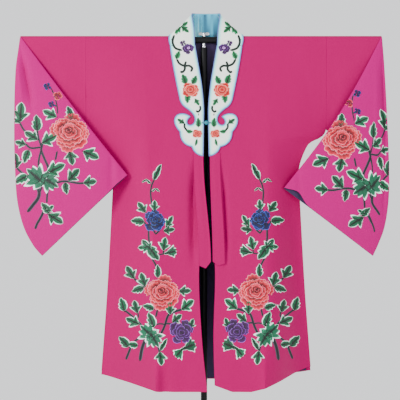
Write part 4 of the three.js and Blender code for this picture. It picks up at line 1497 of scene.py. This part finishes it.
FRONT_STEMS = [
    (1.3, [(154, 180), (151.6, 185.8), (150.6, 193.3), (151.7, 202.6), (152.6, 212)]),
    (1.5, [(148.4, 227), (148.6, 232), (149, 240), (150.5, 248), (151.3, 256.8), (156, 266), (158, 278)]),
    (1.3, [(143.6, 222.2), (148, 226), (152, 228.5), (155.6, 234)]), (1.5, [(155.4, 234.4), (160, 230)]),
    (1.1, [(158.4, 254.8), (164.2, 253.8)]), (1.1, [(163.6, 250.4), (163.2, 254.2)]),
    (1.6, [(134.2, 278.4), (139, 283), (146, 288)]),
    (2.0, [(182, 309.4), (175, 311.5), (168.3, 315.2), (164.9, 325.1), (161, 333.6), (155, 342)]),
    (1.5, [(157.4, 310), (155.9, 317)]), (1.4, [(165, 323.6), (171, 324), (178, 327.4)]),
    (1.6, [(124.4, 310), (131, 315.2), (139, 322.4), (146, 331)]),
    (1.2, [(153.6, 325.2), (160, 323.8), (165.4, 324.6)]),
    (1.7, [(144.6, 333), (138.5, 338.4), (133, 342.6)]),
    (2.8, [(147, 336), (142.3, 348), (140, 361)]), (2.0, [(131.4, 346), (128.8, 352.5), (126, 359.6)]),
    (1.4, [(157, 343.6), (158.4, 348), (159.7, 353)]), (1.2, [(137.6, 312.2), (138.4, 316.4), (135.6, 320)]),
]
FRONT_FLOWERS = [
    (blue_flower, (155, 220.6), 11.2), (peony, (162.6, 292.6), 18.6), (violet_flower, (181.4, 331.6), 12),
]

# %% The spray on each folded sleeve
SLEEVE_LEAVES = [
    ("trident", (20.2, 122), (21.8, 102)), ("trident", (20.4, 123), (12, 117), 0.8),
    ("oval", (37.3, 131), (36.5, 114.6)),
    ("trident", (56.6, 116.8), (42.8, 110.2)), ("oval", (71.4, 118), (67.6, 106)),
    ("trident", (37.8, 139.6), (24.6, 131.4)), ("trident", (42, 143.4), (57.4, 134.8)),
    ("trident", (26, 144.2), (14.8, 141.6)), ("oval", (28.8, 150), (23.8, 163.2)),
    ("trident", (17, 168.4), (15.6, 153)), ("oval", (28, 175.6), (14, 183)),
    ("maple", (43.6, 183), (26.4, 168.6), 1.05), ("maple", (42, 177), (58.6, 187.4), 1.05),
    ("trident", (46.8, 173.6), (65.4, 164.2), 0.9), ("trident", (69.4, 151), (72.6, 165.4), 1.1),
    ("trident", (83, 151.4), (99, 158.6)), ("trident", (68.4, 181), (79.6, 168.8)),
    ("trident", (83.4, 183), (97, 181.4), 1.1), ("oval", (65.2, 182.6), (66.8, 194.6)),
    ("oval", (49.4, 213), (41.6, 202.6)), ("trident", (46.8, 211.6), (53.8, 205.4)),
    ("trident", (48.2, 214.2), (63.2, 223.6)),
]
SLEEVE_STEMS = [
    (1.0, [(51, 88), (54.5, 96), (57, 106), (57.6, 114)]), (1.2, [(51.8, 104), (56.6, 106.4)]),
    (1.6, [(19.6, 122.4), (23.2, 129), (28, 134)]), (1.4, [(37, 129), (38.6, 138), (41.3, 147)]),
    (1.6, [(25.4, 143.8), (31, 148), (41, 147.2)]),
    (2.0, [(42.8, 142.6), (41.6, 147), (41.4, 151), (44.6, 159), (48.2, 168), (47.6, 178)]),
    (1.6, [(41.2, 150), (39, 159), (38.4, 168)]), (1.7, [(16.6, 167.4), (21, 172), (28, 176.6)]),
    (1.7, [(56, 183), (62, 181.4), (69, 181.6), (78, 183.2), (86, 183)]), (1.5, [(57.2, 151), (55.4, 160)]),
    (2.9, [(37.2, 186), (39.2, 192.5), (37.9, 198.5), (33, 205), (27.4, 212)]),
    (1.6, [(42, 187), (39.4, 192.6)]), (1.6, [(48.4, 187), (47.2, 195), (46.8, 203)]),
    (2.1, [(44.4, 209.6), (41, 217), (37, 224), (35.2, 229)]),
]
SLEEVE_FLOWERS = [
    (peony, (70, 132.6), 20.6), (blue_bud, (47.8, 86.4), 4.2), (blue_bud, (51.8, 104.2), 3.6),
    (coral_bud, (57.6, 95.6), 4.6),
]

# %% The spray on each half of the collar
COLLAR_LEAVES = [
    ("oval", (182.8, 25.8), (188, 21.8), 0.9), ("trident", (180.6, 27), (174.8, 33.8), 0.8),
    ("trident", (181.6, 26.6), (188.8, 32.6), 0.8), ("oval", (176, 58.6), (179.6, 51)),
    ("oval", (185.8, 83.8), (182.6, 74)), ("oval", (192.4, 83.8), (196.6, 75.6)),
    ("oval", (188.2, 94), (187, 103.4)), ("trident", (194.8, 98.8), (199.2, 105.6), 0.8),
    ("oval", (198.5, 127), (198.2, 117.6), 0.9), ("trident", (184.4, 123.4), (177.4, 118.8), 0.8),
    ("oval", (186.6, 131.4), (193, 131.6)), ("blade", (197, 139), (195, 146), 1.4),
]
COLLAR_STEMS = [
    (0.9, [(176.4, 34.6), (181.6, 26.4), (186.4, 23.2)]),
    (1.8, [(174.3, 35), (172.7, 40.1), (173.2, 44.5), (176, 48.5), (182.2, 50.4)]),
    (0.9, [(171.4, 39), (172.9, 41)]), (0.9, [(171.6, 45.6), (173.4, 44.2)]),
    (1.8, [(176.6, 58.8), (179.5, 63.6), (184.4, 65.8), (189.3, 65.8), (192.2, 68.4), (190.6, 71.8)]),
    (1.8, [(186.2, 61.4), (184.7, 65.4), (184.8, 69.2), (182.4, 72.1), (180.2, 71.4)]),
    (1.6, [(200, 105.8), (200.3, 109.2), (198.2, 111.8), (196, 110.6)]),
    (0.7, [(198.4, 113.4), (198.6, 115.6)]),
    (1.6, [(184.6, 123.4), (184.7, 127.4), (187.4, 131)]), (1.0, [(196.9, 139), (197, 143), (195, 145.6)]),
]
COLLAR_FLOWERS = [
    (violet_bud, (183.4, 43.2), 3.4), (lilac_flower, (188.2, 48.6), 5.6), (rose, (190.4, 89.8), 8.6),
    (rose, (197.2, 133.6), 5.0),
]


# %% Sprays laid on the cloth
STEM_THREADS = (colour(120, 128, 138), colour(34, 46, 58))
VINE_THREADS = (colour(16, 108, 90), colour(0, 68, 58))
STEM_GAIN = 1.3  # stitches reach a little past the drawn line
THREAD_DEPTH = 1.75  # floss swallows light between its strands, which deepens all but white
STITCH_LIFT = 0.15  # mm between the cloth and the lowest stitches
GRAZING = 0.2  # cloth that is turned nearly edge on to the eye takes no stitches


def spray(leaves, stems, flowers, leaf_set, stem_tints):
    """All the patches of a spray in one, in pixels: stems lowest, then leaves and flowers."""
    parts = [stroke(points, width * STEM_GAIN, stem_tints, taper=0.06) for width, points in stems]
    pick = np.random.default_rng(1)
    for shape, start, tip, *spread in leaves:
        up = np.subtract(tip, start)
        across = np.array([up[1], -up[0]]) * (spread[0] if spread else 1.0)
        parts.append(moved(leaf_set[shape], start, up, across, lift=0.25, shade=pick.uniform(0.85, 1.15)))
    for made, middle, radius in flowers:
        parts.append(moved(made, middle, (0, -radius), (radius, 0), lift=0.5))
    return joined(*parts)


def lay(name, made, cloths, turned_over):
    """Lays a spray on cloth. Each point goes along the camera's line of sight to the cloth and
    is raised by its height, and what misses the cloth is cut away, as it is at a fold."""
    vertices, faces = [], []
    for cloth in cloths:
        start = len(vertices)
        vertices += [v.co.copy() for v in cloth.data.vertices]
        faces += [[start + i for i in face.vertices] for face in cloth.data.polygons]
    tree = BVHTree.FromPolygons(vertices, faces)
    points, colours, threads, quads = made
    flat = turned_over(points[:, 0], points[:, 1])
    eye = camera.location
    placed = np.zeros((len(points), 3))
    found = np.zeros(len(points), bool)
    for i, (px, py, height) in enumerate(zip(*flat, points[:, 2])):
        x, z = at_pixel(px, py)
        sight = (Vector((x, 0, z)) - eye).normalized()
        hit, normal, _, _ = tree.ray_cast(eye, sight)
        if hit is None or abs(normal.dot(sight)) < GRAZING:
            continue
        if normal.dot(sight) > 0:
            normal = -normal
        placed[i] = hit + normal * (height + STITCH_LIFT) * MM
        found[i] = True
    quads = quads[found[quads].all(axis=1)]
    corners = placed[quads]
    facing_away = np.cross(corners[:, 1] - corners[:, 0], corners[:, 2] - corners[:, 1])[:, 1] > 0
    quads[facing_away] = quads[facing_away][:, ::-1]
    used, quads = np.unique(quads, return_inverse=True)
    piece = mesh_piece(name, placed[used].tolist(), [], quads.reshape(-1, 4).tolist())
    mesh = piece.data
    layer = mesh.color_attributes.new("thread_colour", "FLOAT_COLOR", "POINT")
    deepened = np.clip(colours[used], 0, 1) ** THREAD_DEPTH
    layer.data.foreach_set("color", deepened.astype(np.float32).ravel())
    corner_vertex = np.empty(len(mesh.loops), np.int32)
    mesh.loops.foreach_get("vertex_index", corner_vertex)
    uv = mesh.uv_layers.new(name="threads")
    uv.data.foreach_set("uv", threads[used][corner_vertex].astype(np.float32).ravel())
    mesh.materials.append(thread)
    make_active(piece)
    bpy.ops.object.shade_smooth()
    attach(piece, "root")
    return piece


thread_net = Net("silk_thread")
tint = thread_net.out("ShaderNodeAttribute", 0, attribute_name="thread_colour")
lines = thread_net.add("ShaderNodeSeparateXYZ", {0: thread_net.out("ShaderNodeUVMap", 0, uv_map="threads")})
turns = 2 * math.pi * PIXEL / MM / THREAD
stitch = (Value(thread_net, lines.outputs[0]) * turns).sine() * 0.5 + 0.5
wander = thread_net.noise(thread_net.object_place(), 260.0, 2.0)
shadow = thread_net.mix(1.0, tint, colour(150, 150, 160), blend_type="MULTIPLY")
thread_net.set(
    Base_Color=thread_net.mix(stitch * 0.22 + wander * 0.2, tint, shadow),
    Roughness=wander * 0.2 + 0.36,
    Specular_IOR_Level=0.28,
)
thread_net.bump(stitch + wander, 0.14 * MM, 0.7)
thread = thread_net.material

front_spray = spray(FRONT_LEAVES, FRONT_STEMS, FRONT_FLOWERS, rimmed_leaves, STEM_THREADS)
sleeve_spray = spray(SLEEVE_LEAVES, SLEEVE_STEMS, SLEEVE_FLOWERS, rimmed_leaves, STEM_THREADS)
collar_spray = spray(COLLAR_LEAVES, COLLAR_STEMS, COLLAR_FLOWERS, plain_leaves, VINE_THREADS)


def as_drawn(px, py):
    return px, py


def front_turned(px, py):
    """The left front: turned over, and the axis leans a little."""
    return 2 * (206.5 + 2.8 * clamp((py - 170) / 130)) - px, py - 0.8


def sleeve_turned(px, py):
    """The left sleeve: turned over and lower, because that sleeve slipped a little."""
    outward = clamp((40 - px) / 20)
    return 411.5 - px - 7 * outward - 7 * clamp((112 - py) / 22), py + 7 - 4 * clamp((py - 195) / 15)


def collar_turned(px, py):
    return 2 * 206.2 - px, py


embroidery = [
    lay("embroidery_front_right", front_spray, [fronts["right"]], as_drawn),
    lay("embroidery_front_left", front_spray, [fronts["left"]], front_turned),
    lay("embroidery_sleeve_right", sleeve_spray, [sleeve_ends["right"]], as_drawn),
    lay("embroidery_sleeve_left", sleeve_spray, [sleeve_ends["left"]], sleeve_turned),
    lay("embroidery_collar_right", collar_spray, [collars["right"]], as_drawn),
    lay("embroidery_collar_left", collar_spray, [collars["left"]], collar_turned),
]
print("embroidery faces", [len(piece.data.polygons) for piece in embroidery])

# %% [markdown]
# ## The room
#
# The floor is one plain sheet of pale paper in an evenly lit white room, so that the robe can
# be seen from all sides. Large soft lamps, two in front and one behind, leave almost no hard
# shadow.

# %% Floor and lamps
paper = Net("pale_paper")
paper.set(Base_Color=paper.mix(paper.noise(paper.object_place(), 3.0), colour(234, 234, 233),
                               colour(230, 229, 229)), Roughness=0.9)

FLOOR_HALF_WIDTH = 3.0
FLOOR_BACK = 1.8
FLOOR_FRONT = -3.0
deselect_all()
bpy.ops.mesh.primitive_plane_add(size=1, location=(0, 0, 0))
floor = bpy.context.object
floor.name = "floor"
floor.scale = (2 * FLOOR_HALF_WIDTH, FLOOR_BACK - FLOOR_FRONT, 1)
floor.location = (0, (FLOOR_BACK + FLOOR_FRONT) / 2, 0)
freeze(floor)
floor.data.materials.append(paper.material)


TARGET = (0, 0, 0.95)  # what the lamps face
WORLD_COLOUR = (0.97, 0.98, 1.0, 1)
WORLD_STRENGTH = 1.3


def lamp(name, place, size, power):
    """A soft white square lamp that faces the target."""
    data = bpy.data.lights.new(name, "AREA")
    data.size = size
    data.energy = power
    item = link_piece(name, data)
    item.location = place
    item.rotation_euler = (Vector(TARGET) - Vector(place)).to_track_quat("-Z", "Y").to_euler()


lamp("key_lamp", (-2.4, -2.2, 2.0), 1.0, 130)
lamp("fill_lamp", (1.7, -2.9, 1.2), 1.8, 46)
lamp("back_lamp", (2.2, 2.6, 1.9), 1.2, 80)

world = bpy.data.worlds.new("studio")
world.use_nodes = True
background = world.node_tree.nodes["Background"]
background.inputs["Color"].default_value = WORLD_COLOUR
background.inputs["Strength"].default_value = WORLD_STRENGTH
bpy.context.scene.world = world
print("floor and lamps made")
